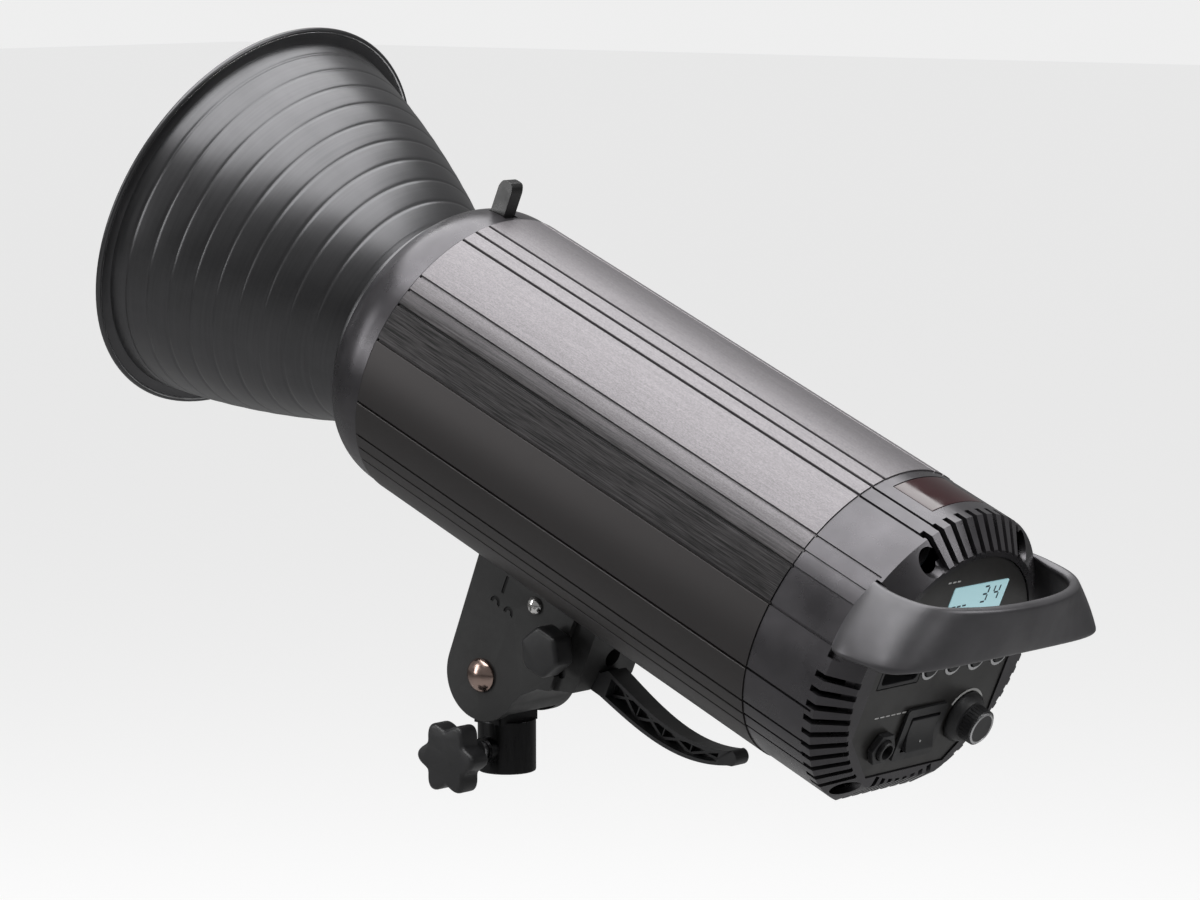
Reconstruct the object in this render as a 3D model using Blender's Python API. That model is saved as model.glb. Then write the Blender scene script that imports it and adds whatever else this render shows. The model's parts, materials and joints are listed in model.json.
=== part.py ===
"""Monolight studio strobe on a tilting stand bracket, as an assembly of separate parts.

Units are metres. The origin is the centre of the stand socket's lower rim, +Z runs up the stand,
+X is the way the lamp aims when it is level, and +Y is the lamp's own left side.

Everything above the stand socket hangs from the empty "tilt_pivot". The empty "head_frame" under it
has its origin at the centre of the reflector's mouth and its X axis on the lamp's optical axis, so
lengths along the lamp are distances behind the mouth.
"""

from contextlib import contextmanager
from math import acos, atan2, cos, hypot, pi, radians, sin, sqrt

import bmesh
import bpy
from mathutils import Matrix, Vector

MM = 0.001
GAP = 0.3 * MM
TURN = 2 * pi
ROUND = 30
MEDIUM = 20
SMALL = 12

# Stand socket and tilt pivot
SOCKET_RADIUS = 12.5 * MM
SPIGOT_BORE_RADIUS = 8.2 * MM
SPIGOT_BORE_DEPTH = 19.5 * MM
SOCKET_TOP = 22.5 * MM
NECK_LENGTH = 17.0 * MM
NECK_MIDDLE = 0.5 * MM
NECK_HALF_WIDTH = 12.0 * MM
PIVOT_HOLE_RADIUS = 4.2 * MM
BARREL_RADIUS = 14.0 * MM
BARREL_HALF_WIDTH = 14.0 * MM
PIVOT = Vector((-3.5 * MM, 0.0, 44.0 * MM))
REST_TILT = radians(23.5)
STAND_SCREW_HEIGHT = 10.5 * MM

# Lamp axis: distances behind the reflector's mouth, and the pivot seen from the mouth
PIVOT_BEHIND_MOUTH = 213.4 * MM
AXIS_ABOVE_PIVOT = 110.9 * MM
NECK_BACK = 120.0 * MM
COLLAR_FRONT = 110.5 * MM
LIP_FRONT = 114.0 * MM
SHOULDER_END = 134.0 * MM
TUBE_FRONT = 139.5 * MM
TUBE_BACK = 364.5 * MM
CHAMFER_START = 400.5 * MM
BACK_FACE = 410.0 * MM
HANDLE_ROOT = 398.2 * MM
FOOT_HEIGHT = -60.4 * MM
FOOT_EDGE_HEIGHT = -49.4 * MM
PANEL_FACE = 409.4 * MM

# Radii about the lamp axis
RIM_RADIUS = 92.0 * MM
TUBE_RADIUS = 66.0 * MM
TUBE_BORE_RADIUS = 62.5 * MM
COVER_RADIUS = 65.5 * MM
SPIGOT_RADIUS = 62.2 * MM
BACK_FACE_RADIUS = 54.5 * MM
VENT_PITCH = 5.85
FAN_BLADES = 7
PANEL_RADIUS = 51.3 * MM
PANEL_HALF_WIDTH = 45.2 * MM
PANEL_BOTTOM = -44.5 * MM
TIE_SCREW_CIRCLE = 59.3 * MM
CHANNEL_RADIUS = 4.0 * MM
SCREW_SEAT = -388.3 * MM
TIE_SCREW_ANGLES = [radians(a) for a in (59, 121, 239, 301)]

# Bracket
CHEEK_OUTER = 20.0 * MM
CHEEK_INNER = 15.4 * MM
BLOCK_HALF_WIDTH = 17.3 * MM
BRACKET_BACK = 260.0 * MM
UMBRELLA_HEIGHT = -78.6 * MM
UMBRELLA_RADIUS = 4.3 * MM
UMBRELLA_KNOB_BACK = 247.5 * MM
LEVER_PIN = (250.0 * MM, -89.5 * MM)
LEVER_HUB_RADIUS = 4.6 * MM
RAIL_BOLT_BACK = 208.0 * MM

# Controls on the back, as (lamp's left, up) about the lamp axis
WINDOW_CENTRE = (-6.2 * MM, 29.0 * MM)
WINDOW_SIZE = (37.0 * MM, 20.0 * MM)
BUTTON_LEFTS = [8.0 * MM, -7.4 * MM, -22.8 * MM, -38.2 * MM]
BUTTON_HEIGHT = 3.0 * MM
BUTTON_RADIUS = 3.9 * MM
DIAL_CENTRE = (-28.0 * MM, -24.5 * MM)
ROCKER_CENTRE = (0.5 * MM, -27.0 * MM)
ROCKER_SIZE = (24.0 * MM, 21.0 * MM)
JACK_CENTRE = (24.5 * MM, -30.5 * MM)
INLET_CENTRE = (27.3 * MM, 7.0 * MM)
INLET_SIZE = (27.0 * MM, 20.0 * MM)


# ---------------------------------------------------------------- materials and objects

def material(name, colour, roughness, metallic=0.0):
    """A Principled material with one colour."""
    made = bpy.data.materials.new(name)
    made.use_nodes = True
    shader = made.node_tree.nodes["Principled BSDF"]
    shader.inputs["Base Color"].default_value = (*colour, 1.0)
    shader.inputs["Roughness"].default_value = roughness
    shader.inputs["Metallic"].default_value = metallic
    return made


BLACK_PLASTIC = ((0.022, 0.022, 0.024), 0.45, 0.0)
GREY_PLASTIC = ((0.055, 0.054, 0.057), 0.42, 0.0)
BLACK_ALUMINIUM = ((0.060, 0.055, 0.060), 0.35, 0.8)
BARE_STEEL = ((0.55, 0.55, 0.56), 0.30, 1.0)
CHROME = ((0.70, 0.64, 0.60), 0.12, 1.0)
BRASS = ((0.70, 0.52, 0.22), 0.30, 1.0)
WHITE_CERAMIC = ((0.80, 0.79, 0.75), 0.40, 0.0)
CLEAR_GLASS = ((0.85, 0.88, 0.90), 0.08, 0.0)
RED_WINDOW = ((0.060, 0.006, 0.006), 0.10, 0.0)
BOARD_GREEN = ((0.020, 0.120, 0.050), 0.45, 0.0)
CAN_BLUE = ((0.030, 0.060, 0.180), 0.35, 0.0)
PALE_GREY = ((0.55, 0.56, 0.58), 0.50, 0.0)
SCREEN_BLUE = ((0.45, 0.72, 0.76), 0.20, 0.0)


def add_object(name, mesh_maker, look, parent=None, at=(0, 0, 0), turn=(0, 0, 0), smooth=35):
    """An object from a bmesh, shaded smooth except at edges sharper than smooth degrees."""
    bmesh.ops.recalc_face_normals(mesh_maker, faces=mesh_maker.faces)
    mesh = bpy.data.meshes.new(name)
    mesh_maker.to_mesh(mesh)
    mesh_maker.free()
    mesh.shade_smooth()
    mesh.set_sharp_from_angle(angle=radians(smooth))
    if look is not None:
        mesh.materials.append(material(name + "_finish", *look))
    made = bpy.data.objects.new(name, mesh)
    bpy.context.scene.collection.objects.link(made)
    made.parent = parent
    made.location = at
    made.rotation_euler = turn
    return made


def add_empty(name, parent=None, at=(0, 0, 0), turn=(0, 0, 0)):
    made = bpy.data.objects.new(name, None)
    bpy.context.scene.collection.objects.link(made)
    made.parent = parent
    made.location = at
    made.rotation_euler = turn
    return made


def combine(target, tool_mesh, operation, parent=None, at=(0, 0, 0), turn=(0, 0, 0)):
    """Boolean of the target with a hidden tool object."""
    tool_name = "tool_%s_%d" % (target.name, len(target.modifiers))
    tool = add_object(tool_name, tool_mesh, None, parent, at, turn)
    tool.hide_render = True
    tool.display_type = "WIRE"
    modifier = target.modifiers.new(tool_name, "BOOLEAN")
    modifier.operation = operation
    modifier.solver = "EXACT"
    modifier.object = tool


def cut(target, tool_mesh, parent=None, at=(0, 0, 0), turn=(0, 0, 0)):
    combine(target, tool_mesh, "DIFFERENCE", parent, at, turn)


def fuse(target, tool_mesh, parent=None, at=(0, 0, 0), turn=(0, 0, 0)):
    combine(target, tool_mesh, "UNION", parent, at, turn)


# ---------------------------------------------------------------- outlines and solids

def circle(radius, count=32, centre=(0.0, 0.0)):
    return [(centre[0] + radius * cos(TURN * i / count), centre[1] + radius * sin(TURN * i / count))
            for i in range(count)]


def arc(radius, start, end, count, centre=(0.0, 0.0)):
    """Points from start to end, both in degrees and both included."""
    angles = [radians(start + (end - start) * i / count) for i in range(count + 1)]
    return [(centre[0] + radius * cos(a), centre[1] + radius * sin(a)) for a in angles]


def rectangle(width, height, centre=(0.0, 0.0), corner=0.0, steps=4):
    """A rectangle outline, with rounded corners where a corner radius is given."""
    half_w, half_h = width / 2, height / 2
    if corner == 0:
        signs = ((1, 1), (-1, 1), (-1, -1), (1, -1))
        return [(centre[0] + sx * half_w, centre[1] + sy * half_h) for sx, sy in signs]
    points = []
    for quarter, (sx, sy) in enumerate(((1, 1), (-1, 1), (-1, -1), (1, -1))):
        middle = (centre[0] + sx * (half_w - corner), centre[1] + sy * (half_h - corner))
        points += arc(corner, 90 * quarter, 90 * quarter + 90, steps, middle)
    return points


def on_axis(axis, along, across, up):
    """A point given along an axis and by its two other coordinates, in X, Y, Z order."""
    if axis == "X":
        return (along, across, up)
    if axis == "Y":
        return (across, along, up)
    return (across, up, along)


def slab(outline, low, high, axis="X", holes=(), into=None):
    """A plate: an outline with holes, filled, then extruded from low to high along an axis."""
    made = bmesh.new() if into is None else into
    edges = []
    for loop in (outline, *holes):
        corners = [made.verts.new(on_axis(axis, low, a, b)) for a, b in loop]
        edges += [made.edges.new(pair) for pair in zip(corners, corners[1:] + corners[:1])]
    filled = bmesh.ops.triangle_fill(made, edges=edges, use_beauty=True, use_dissolve=True)
    faces = [item for item in filled["geom"] if isinstance(item, bmesh.types.BMFace)]
    grown = bmesh.ops.extrude_face_region(made, geom=faces)
    moved = [item for item in grown["geom"] if isinstance(item, bmesh.types.BMVert)]
    bmesh.ops.translate(made, verts=moved, vec=on_axis(axis, high - low, 0, 0))
    return made


def turned(profile, segments=48, axis="X", into=None):
    """A turned solid from a closed profile of (along, radius) points."""
    made = bmesh.new() if into is None else into
    rings = []
    for along, radius in profile:
        if radius == 0:
            rings.append([made.verts.new(on_axis(axis, along, 0, 0))])
        else:
            ring = [on_axis(axis, along, a, b) for a, b in circle(radius, segments)]
            rings.append([made.verts.new(point) for point in ring])
    for first, second in zip(rings, rings[1:] + rings[:1]):
        if len(first) == 1 and len(second) == 1:
            continue
        for i in range(segments):
            j = (i + 1) % segments
            corners = [first[i % len(first)], first[j % len(first)]]
            corners += [second[j % len(second)], second[i % len(second)]]
            made.faces.new(list(dict.fromkeys(corners)))
    return made


@contextmanager
def turned_into(target, angle):
    """A fresh bmesh whose contents are turned about X and then added to the target."""
    fresh = bmesh.new()
    yield fresh
    bmesh.ops.rotate(fresh, verts=fresh.verts, matrix=Matrix.Rotation(angle, 3, "X"))
    carrier = bpy.data.meshes.new("carrier")
    fresh.to_mesh(carrier)
    fresh.free()
    target.from_mesh(carrier)
    bpy.data.meshes.remove(carrier)


def rods_on_circle(radius, low, high, segments=10):
    """One rod at each tie screw's place."""
    group = bmesh.new()
    for angle in TIE_SCREW_ANGLES:
        place = (TIE_SCREW_CIRCLE * cos(angle), TIE_SCREW_CIRCLE * sin(angle))
        rod(radius, low, high, "X", segments, place, group)
    return group


def rod(radius, low, high, axis="X", segments=16, centre=(0.0, 0.0), into=None):
    return slab(circle(radius, segments, centre), low, high, axis, into=into)


def swept(path, radius, segments=12):
    """A round bar along a path of points, with flat ends."""
    made = bmesh.new()
    points = [Vector(p) for p in path]
    rings = []
    side = (points[1] - points[0]).orthogonal().normalized()
    for index, point in enumerate(points):
        before = points[max(index - 1, 0)]
        after = points[min(index + 1, len(points) - 1)]
        ahead = (after - before).normalized()
        side = (side - ahead * side.dot(ahead)).normalized()
        other = ahead.cross(side)
        ring = [point + side * a + other * b for a, b in circle(radius, segments)]
        rings.append([made.verts.new(p) for p in ring])
    for first, second in zip(rings, rings[1:]):
        for i in range(segments):
            j = (i + 1) % segments
            made.faces.new((first[i], first[j], second[j], second[i]))
    made.faces.new(rings[0])
    made.faces.new(rings[-1])
    return made


# ---------------------------------------------------------------- stand side

def build_stand_socket():
    """Socket for a 16 mm stand spigot, with a neck up to the pivot barrel and a boss for its screw."""
    rounding = 0.8 * MM
    profile = [(0, SPIGOT_BORE_RADIUS + rounding), (0, SOCKET_RADIUS - rounding), (rounding, SOCKET_RADIUS),
               (SOCKET_TOP, SOCKET_RADIUS), (SOCKET_TOP, 0), (SPIGOT_BORE_DEPTH, 0),
               (SPIGOT_BORE_DEPTH, SPIGOT_BORE_RADIUS), (rounding, SPIGOT_BORE_RADIUS)]
    socket = add_object("stand_socket", turned(profile, 28, "Z"), BLACK_ALUMINIUM)
    neck = rectangle(NECK_LENGTH, 2 * NECK_HALF_WIDTH, (NECK_MIDDLE, 0))
    fuse(socket, slab(neck, SOCKET_TOP - 1 * MM, PIVOT.z - 6 * MM, "Z"))
    fuse(socket, rod(BARREL_RADIUS, -BARREL_HALF_WIDTH, BARREL_HALF_WIDTH, "Y", 28), at=PIVOT)
    fuse(socket, rod(5.6 * MM, 10.5 * MM, 15.5 * MM, "Y"), at=(0, 0, STAND_SCREW_HEIGHT))
    cut(socket, rod(PIVOT_HOLE_RADIUS, -30 * MM, 30 * MM, "Y"), at=PIVOT)
    cut(socket, rod(4.1 * MM, 4 * MM, 20 * MM, "Y"), at=(0, 0, STAND_SCREW_HEIGHT))


def lobed(mean_radius, swing, lobes, per_lobe=6):
    """A wavy round outline."""
    count = lobes * per_lobe
    return [((mean_radius + swing * cos(lobes * TURN * i / count)) * cos(TURN * i / count),
             (mean_radius + swing * cos(lobes * TURN * i / count)) * sin(TURN * i / count))
            for i in range(count)]


def build_stand_clamp():
    """Star knob, its screw and the brass shoe that grips the spigot. All share the Y axis."""
    at = (0, 0, STAND_SCREW_HEIGHT)
    shoe = rod(3.7 * MM, SPIGOT_BORE_RADIUS + GAP, 10.6 * MM, "Y")
    add_object("stand_clamp_shoe", shoe, BRASS, at=at)
    screw = rod(3.8 * MM, 10.9 * MM, 35 * MM, "Y")
    add_object("stand_clamp_screw", screw, BARE_STEEL, at=at)
    knob = slab(lobed(14.2 * MM, 2.0 * MM, 6), 29 * MM, 40 * MM, "Y")
    star = add_object("stand_knob", knob, BLACK_PLASTIC, at=at, smooth=50)
    star.modifiers.new("soft_edges", "BEVEL").width = 1.2 * MM
    hub = [(20 * MM, 0), (20 * MM, 6 * MM), (30 * MM, 7.5 * MM), (30 * MM, 0)]
    fuse(star, turned(hub, MEDIUM, "Y"), at=at)
    cut(star, rod(4.1 * MM, 15 * MM, 35.4 * MM, "Y"), at=at)


# ---------------------------------------------------------------- bracket

def side_view(points):
    """(behind mouth, up) pairs in millimetres as head-frame (x, z) pairs."""
    return [(-behind * MM, up * MM) for behind, up in points]


def about_pivot(radius, start, end, count):
    """An arc about the tilt pivot in (behind, up) millimetres. Angle 0 is back and 90 is up."""
    centre = (PIVOT_BEHIND_MOUTH / MM, -AXIS_ABOVE_PIVOT / MM)
    return arc(radius, start, end, count, centre)


def build_bracket(head):
    """Fork that straddles the pivot barrel. Its solid back holds the umbrella hole and the lever."""
    outline = [(191.4, -58), (193.6, -112)] + about_pivot(19.8, 183, 352, 16)
    outline += [(236, -108), (243, -101), (BRACKET_BACK / MM - 1, -94), (BRACKET_BACK / MM, -88),
                (BRACKET_BACK / MM, -58)]
    fork = add_object("tilt_bracket", slab(side_view(outline), -CHEEK_OUTER, CHEEK_OUTER, "Y"),
                      BLACK_PLASTIC, head)
    channel = [(180, -50), (239, -50), (239, -88)] + about_pivot(16, 60, -8, 7) + [(232, -140), (180, -140)]
    cut(fork, slab(side_view(channel), -CHEEK_INNER, CHEEK_INNER, "Y"), head)
    sides = bmesh.new()
    waist = side_view([(249, -50), (270, -50), (270, -120), (249, -120)])
    slab(waist, BLOCK_HALF_WIDTH, 30 * MM, "Y", into=sides)
    slab(waist, -30 * MM, -BLOCK_HALF_WIDTH, "Y", into=sides)
    cut(fork, sides, head)
    cut(fork, rod(TUBE_RADIUS + GAP, -300 * MM, -100 * MM, "X", 72), head)
    cut(fork, rod(UMBRELLA_RADIUS, -280 * MM, -230 * MM, "X", centre=(0, UMBRELLA_HEIGHT)), head)
    slot = side_view([(243.5, -84.6), (280, -84.6), (280, -115), (243.5, -115)])
    cut(fork, slab(slot, -6.5 * MM, 6.5 * MM, "Y"), head)
    pin_at = (-LEVER_PIN[0], LEVER_PIN[1])
    cut(fork, rod(2.3 * MM, -30 * MM, 30 * MM, "Y", 16, pin_at), head)
    cut(fork, rod(PIVOT_HOLE_RADIUS, -30 * MM, 30 * MM, "Y", 16, pivot_in_head()), head)
    cut(fork, rod(3.2 * MM, 0, 60 * MM, "X", 20), head, *shoe_placement(0))
    cut(fork, rod(2.3 * MM, -30 * MM, 30 * MM, "Y", 16, bracket_screw_place()), head)
    knob_place = (-UMBRELLA_KNOB_BACK, UMBRELLA_HEIGHT)
    cut(fork, rod(3.0 * MM, 0, 30 * MM, "Y", 20, knob_place), head)


def pivot_in_head():
    return (-PIVOT_BEHIND_MOUTH, -AXIS_ABOVE_PIVOT)


def bracket_screw_place():
    return (-228.0 * MM, -69.0 * MM)


def shoe_placement(distance):
    """Location and rotation that put local +X from the lever's pin towards the tilt pivot."""
    start = Vector((-LEVER_PIN[0], 0, LEVER_PIN[1]))
    towards = Vector((pivot_in_head()[0], 0, pivot_in_head()[1])) - start
    angle = -acos(towards.x / towards.length)
    return start + towards.normalized() * distance, (0, -angle, 0)


def build_pivot_hardware(head):
    """Riveted bolt and friction washers of the tilt joint."""
    at = (pivot_in_head()[0], 0, pivot_in_head()[1])
    dome = [(20.3 * MM, 7.0 * MM), (21.3 * MM, 6.9 * MM), (22.8 * MM, 5.6 * MM), (23.8 * MM, 3.2 * MM),
            (24.2 * MM, 0)]
    bolt = [(-along, radius) for along, radius in reversed(dome)]
    bolt += [(-20.3 * MM, 3.9 * MM), (20.3 * MM, 3.9 * MM)] + dome
    add_object("tilt_bolt", turned(bolt, MEDIUM, "Y"), CHROME, head, at)
    for side, low in (("left", BARREL_HALF_WIDTH + GAP), ("right", -CHEEK_INNER + GAP)):
        washer = slab(circle(13 * MM, MEDIUM), low, low + 0.8 * MM, "Y", [circle(4.3 * MM, SMALL)])
        add_object("friction_washer_" + side, washer, PALE_GREY, head, at)


def build_mounting_rail(head):
    """Bar between the cheeks that carries the lamp body, with its bolt and the cheek screws."""
    profile = rectangle(30.2 * MM, 13.6 * MM, (0, -66.8 * MM))
    rail = add_object("mounting_rail", slab(profile, -236 * MM, -195 * MM), BARE_STEEL, head)
    cut(rail, rod(TUBE_RADIUS + GAP, -300 * MM, -100 * MM, "X", 72), head)
    cut(rail, rod(2.3 * MM, -30 * MM, 30 * MM, "Y", 16, bracket_screw_place()), head)
    cut(rail, rod(2.3 * MM, -80 * MM, -50 * MM, "Z", 16, (-RAIL_BOLT_BACK, 0)), head)
    stem = [(-73 * MM, 0), (-73 * MM, 2 * MM), (-61.9 * MM, 2 * MM), (-61.9 * MM, 3.6 * MM),
            (-58.6 * MM, 3.6 * MM), (-58.6 * MM, 0)]
    add_object("rail_bolt", turned(stem, SMALL, "Z"), BARE_STEEL, head, (-RAIL_BOLT_BACK, 0, 0))
    shank = [(9 * MM, 0), (9 * MM, 2 * MM), (20.3 * MM, 2 * MM), (20.3 * MM, 3.8 * MM),
             (21.4 * MM, 3.5 * MM), (22.2 * MM, 2.2 * MM), (22.4 * MM, 0)]
    place = (bracket_screw_place()[0], 0, bracket_screw_place()[1])
    for side, direction in (("left", 1), ("right", -1)):
        screw = turned([(direction * along, radius) for along, radius in shank], SMALL, "Y")
        add_object("cheek_screw_" + side, screw, CHROME, head, place)


def build_umbrella_clamp(head):
    """Hexagonal knob, its screw and the small shoe that grips an umbrella shaft."""
    at = (-UMBRELLA_KNOB_BACK, 0, UMBRELLA_HEIGHT)
    add_object("umbrella_shoe", rod(2.7 * MM, UMBRELLA_RADIUS + GAP, 6.4 * MM, "Y", 20), BRASS, head, at)
    screw = rod(2.7 * MM, 6.7 * MM, 31 * MM, "Y", 20)
    add_object("umbrella_screw", screw, BARE_STEEL, head, at)
    knob = slab(lobed(10.2 * MM, 0.7 * MM, 6, 6), 23 * MM, 34.5 * MM, "Y")
    hexagon = add_object("umbrella_knob", knob, BLACK_PLASTIC, head, at, smooth=50)
    hexagon.modifiers.new("soft_edges", "BEVEL").width = 1.0 * MM
    fuse(hexagon, rod(5.5 * MM, CHEEK_OUTER + GAP, 24 * MM, "Y"), head, at)
    cut(hexagon, rod(3.0 * MM, 10 * MM, 31.4 * MM, "Y", 20), head, at)


def lever_spine(share):
    """Top and bottom of the lever, (behind, up) in millimetres from its pin, at a share of its length."""
    behind = 14 + 70 * share
    middle = 1.4 - 12.4 * share - 1.8 * share ** 2 + 18.5 * share ** 3
    half = 6.0 - 3.4 * share
    return (behind, middle + half), (behind, middle - half)


def build_lock_lever(head):
    """Curved ribbed lever that presses the brake shoe on the pivot barrel."""
    steps = 9
    rails = [lever_spine(i / steps) for i in range(steps + 1)]
    tip = rails[-1]
    nose = (tip[0][0] + 2.4, (tip[0][1] + tip[1][1]) / 2)
    step_clear_of_bracket = (10.8, 4.5)
    outline = [step_clear_of_bracket] + [pair[0] for pair in rails] + [nose]
    outline += [pair[1] for pair in reversed(rails)]
    hub = LEVER_HUB_RADIUS / MM
    outline += [(hub * cos(radians(a)), hub * sin(radians(a))) for a in range(-80, -281, -25)]
    body = slab([(-behind * MM, up * MM) for behind, up in outline], -6 * MM, 6 * MM, "Y")
    for vert in body.verts:
        vert.co.y *= 1.0 - 0.3 * max(0.0, -vert.co.x / (88 * MM))
    at = (-LEVER_PIN[0], 0, LEVER_PIN[1])
    lever = add_object("lock_lever", body, BLACK_PLASTIC, head, at)
    pockets = bmesh.new()
    wall = 1.6
    cells = [(0.05, 0.22), (0.26, 0.44), (0.48, 0.66), (0.70, 0.90)]
    for start, end in cells:
        shares = [start + (end - start) * i / 3 for i in range(4)]
        tops = [lever_spine(s)[0] for s in shares]
        bottoms = [lever_spine(s)[1] for s in shares]
        ring = [(b, u - wall) for b, u in tops] + [(b, u + wall) for b, u in reversed(bottoms)]
        slab([(-behind * MM, up * MM) for behind, up in ring], -2 * MM, 10 * MM, "Y", into=pockets)
    cut(lever, pockets, head, at)
    cut(lever, rod(2.3 * MM, -10 * MM, 10 * MM, "Y", 16), head, at)
    add_object("lever_pin", rod(2.0 * MM, -16.8 * MM, 16.8 * MM, "Y", 16), BARE_STEEL, head, at)


def build_brake_shoe(head):
    """Plunger between the lever's hub and the pivot barrel."""
    start = LEVER_HUB_RADIUS + 0.7 * MM
    span = hypot(LEVER_PIN[0] - PIVOT_BEHIND_MOUTH, LEVER_PIN[1] + AXIS_ABOVE_PIVOT)
    length = span - BARREL_RADIUS - GAP - start
    at, turn = shoe_placement(start)
    add_object("brake_shoe", rod(2.9 * MM, 0, length, "X", 20), BRASS, head, at, turn)


# ---------------------------------------------------------------- reflector and front

def cone_radius(behind):
    """Outer radius of the reflector's bowl, a gentle bell that tightens towards the neck."""
    return 85.8 * MM - 0.205 * behind - 1.41 * behind * behind


def build_reflector(head):
    """Spun bowl with a rolled rim, and the bayonet collar riveted round its neck."""
    wall = 1.2 * MM
    outside = [(-x * MM, cone_radius(x * MM)) for x in (2.5, 24, 46, 68, 90, 106)]
    inside = [(-x * MM, cone_radius(x * MM) - wall) for x in (1.2, 35, 70, 106)]
    neck = 44.2 * MM
    rim = [(-0.6 * MM, RIM_RADIUS - 2.0 * MM), (0, RIM_RADIUS - 0.8 * MM), (-0.8 * MM, RIM_RADIUS),
           (-2.4 * MM, RIM_RADIUS - 0.4 * MM), (-2.6 * MM, RIM_RADIUS - 2.0 * MM)]
    profile = rim + outside + [(-112 * MM, neck), (-NECK_BACK, neck)]
    profile += [(-NECK_BACK, neck - wall), (-112 * MM, neck - wall)] + inside[::-1]
    add_object("reflector_shell", turned(profile, ROUND), BLACK_ALUMINIUM, head, smooth=50)

    collar = [(-COLLAR_FRONT, 52.4 * MM), (-COLLAR_FRONT - 0.6 * MM, 53.0 * MM),
              (-LIP_FRONT + GAP + 0.2 * MM, 53.0 * MM), (-LIP_FRONT + GAP + 0.2 * MM, 46.3 * MM),
              (-123.3 * MM, 46.3 * MM), (-123.3 * MM, 44.5 * MM), (-112.3 * MM, 44.5 * MM),
              (-COLLAR_FRONT, 46.8 * MM)]
    ring = add_object("reflector_collar", turned(collar, ROUND), BLACK_ALUMINIUM, head)
    lugs = bmesh.new()
    for middle in (90, 210, 330):
        outline = arc(49.5 * MM, middle - 11, middle + 11, 5) + arc(45.6 * MM, middle + 11, middle - 11, 5)
        slab(outline, -123.3 * MM, -121.5 * MM, into=lugs)
    fuse(ring, lugs, head)


def shoulder(radius, reach, depth, last, steps):
    """Rounded front corner of the housing from full radius to its lip."""
    angles = [radians(last * i / steps) for i in range(steps + 1)]
    return [(-SHOULDER_END + reach * sin(a), radius - depth * (1 - cos(a))) for a in angles]


def build_front_housing(head):
    """Moulded nose that plugs into the tube and carries the bayonet, latch and lamps."""
    outer = shoulder(COVER_RADIUS, 20 * MM, 14 * MM, 76, 5)
    inner = shoulder(59.6 * MM, 17 * MM, 10 * MM, 66, 2)
    profile = [(-TUBE_FRONT + GAP, COVER_RADIUS)] + outer
    profile += [(-LIP_FRONT, 54.2 * MM), (-LIP_FRONT, 50.8 * MM), (-117 * MM, 50.8 * MM)]
    profile += inner[::-1]
    profile += [(-136 * MM, 59.6 * MM), (-136 * MM, 56 * MM), (-139 * MM, 56 * MM)]
    profile += [(-141 * MM, 59.2 * MM), (-148 * MM, 59.2 * MM), (-148 * MM, SPIGOT_RADIUS)]
    profile += [(-TUBE_FRONT + GAP, SPIGOT_RADIUS)]
    nose = add_object("front_housing", turned(profile, ROUND), GREY_PLASTIC, head)
    ears = bmesh.new()
    for side in (1, -1):
        ear = rectangle(2.6 * MM, 8 * MM, (side * 5.9 * MM, 56.5 * MM))
        slab(ear, -133.5 * MM, -128.5 * MM, into=ears)
    fuse(nose, ears, head)
    cut(nose, slab(rectangle(8 * MM, 30 * MM, (0, 67 * MM)), -136.8 * MM, -126.7 * MM), head)
    cut(nose, rod(1.5 * MM, -12 * MM, 12 * MM, "Y", 16, latch_pivot()), head)
    notches = bmesh.new()
    for middle in (63, 183, 303):
        with turned_into(notches, radians(middle)) as notch:
            slab(rectangle(9 * MM, 7 * MM, (52.5 * MM, 0)), -118.5 * MM, -112 * MM, into=notch)
    cut(nose, notches, head)
    cut(nose, rods_on_circle(3.1 * MM, -135 * MM, -128 * MM), head)
    cut(nose, rods_on_circle(CHANNEL_RADIUS + GAP, -150 * MM, -TUBE_FRONT + 2 * GAP), head)
    cut(nose, rods_on_circle(1.9 * MM, -142 * MM, -133 * MM), head)


def latch_pivot():
    return (-131.0 * MM, 55.0 * MM)


def build_latch(head):
    """Sprung release lever on top of the nose. Its hook stands over the collar's top lug."""
    at = (latch_pivot()[0], 0, latch_pivot()[1])
    tab = [(3.8, -2.4), (3.8, 21), (2.4, 24), (-0.6, 25.2), (-3.6, 24), (-4.2, 21), (-4.2, -2.4)]
    hook = [(2.9, -2.4), (6.3, -2.4), (6.3, -5.0), (8.3, -5.0), (8.3, 0.0), (2.9, 0.0)]
    outline = [(x * MM, z * MM) for x, z in tab]
    lever = add_object("release_lever", slab(outline, -3.5 * MM, 3.5 * MM, "Y"), BLACK_PLASTIC, head, at)
    lever.modifiers.new("soft_edges", "BEVEL").width = 0.6 * MM
    arm = slab([(x * MM, z * MM) for x, z in hook], -2.5 * MM, 2.5 * MM, "Y")
    fuse(lever, arm, head, at)
    cut(lever, rod(1.5 * MM, -10 * MM, 10 * MM, "Y", 16), head, at)
    add_object("latch_pin", rod(1.2 * MM, -7.4 * MM, 7.4 * MM, "Y", 16), BARE_STEEL, head, at)


def build_bayonet_ring(head):
    """Steel ring behind the lip, with three entry gaps for the collar's lugs."""
    outline = []
    for start in (0, 120, 240):
        outline += arc(50.2 * MM, start - 14, start + 14, 5)
        outline += arc(47.0 * MM, start + 14.1, start + 105.9, 12)
    ring = slab(circle(53.6 * MM, ROUND), -121.2 * MM, -119.3 * MM, "X", [outline])
    add_object("bayonet_ring", ring, BARE_STEEL, head)


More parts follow.
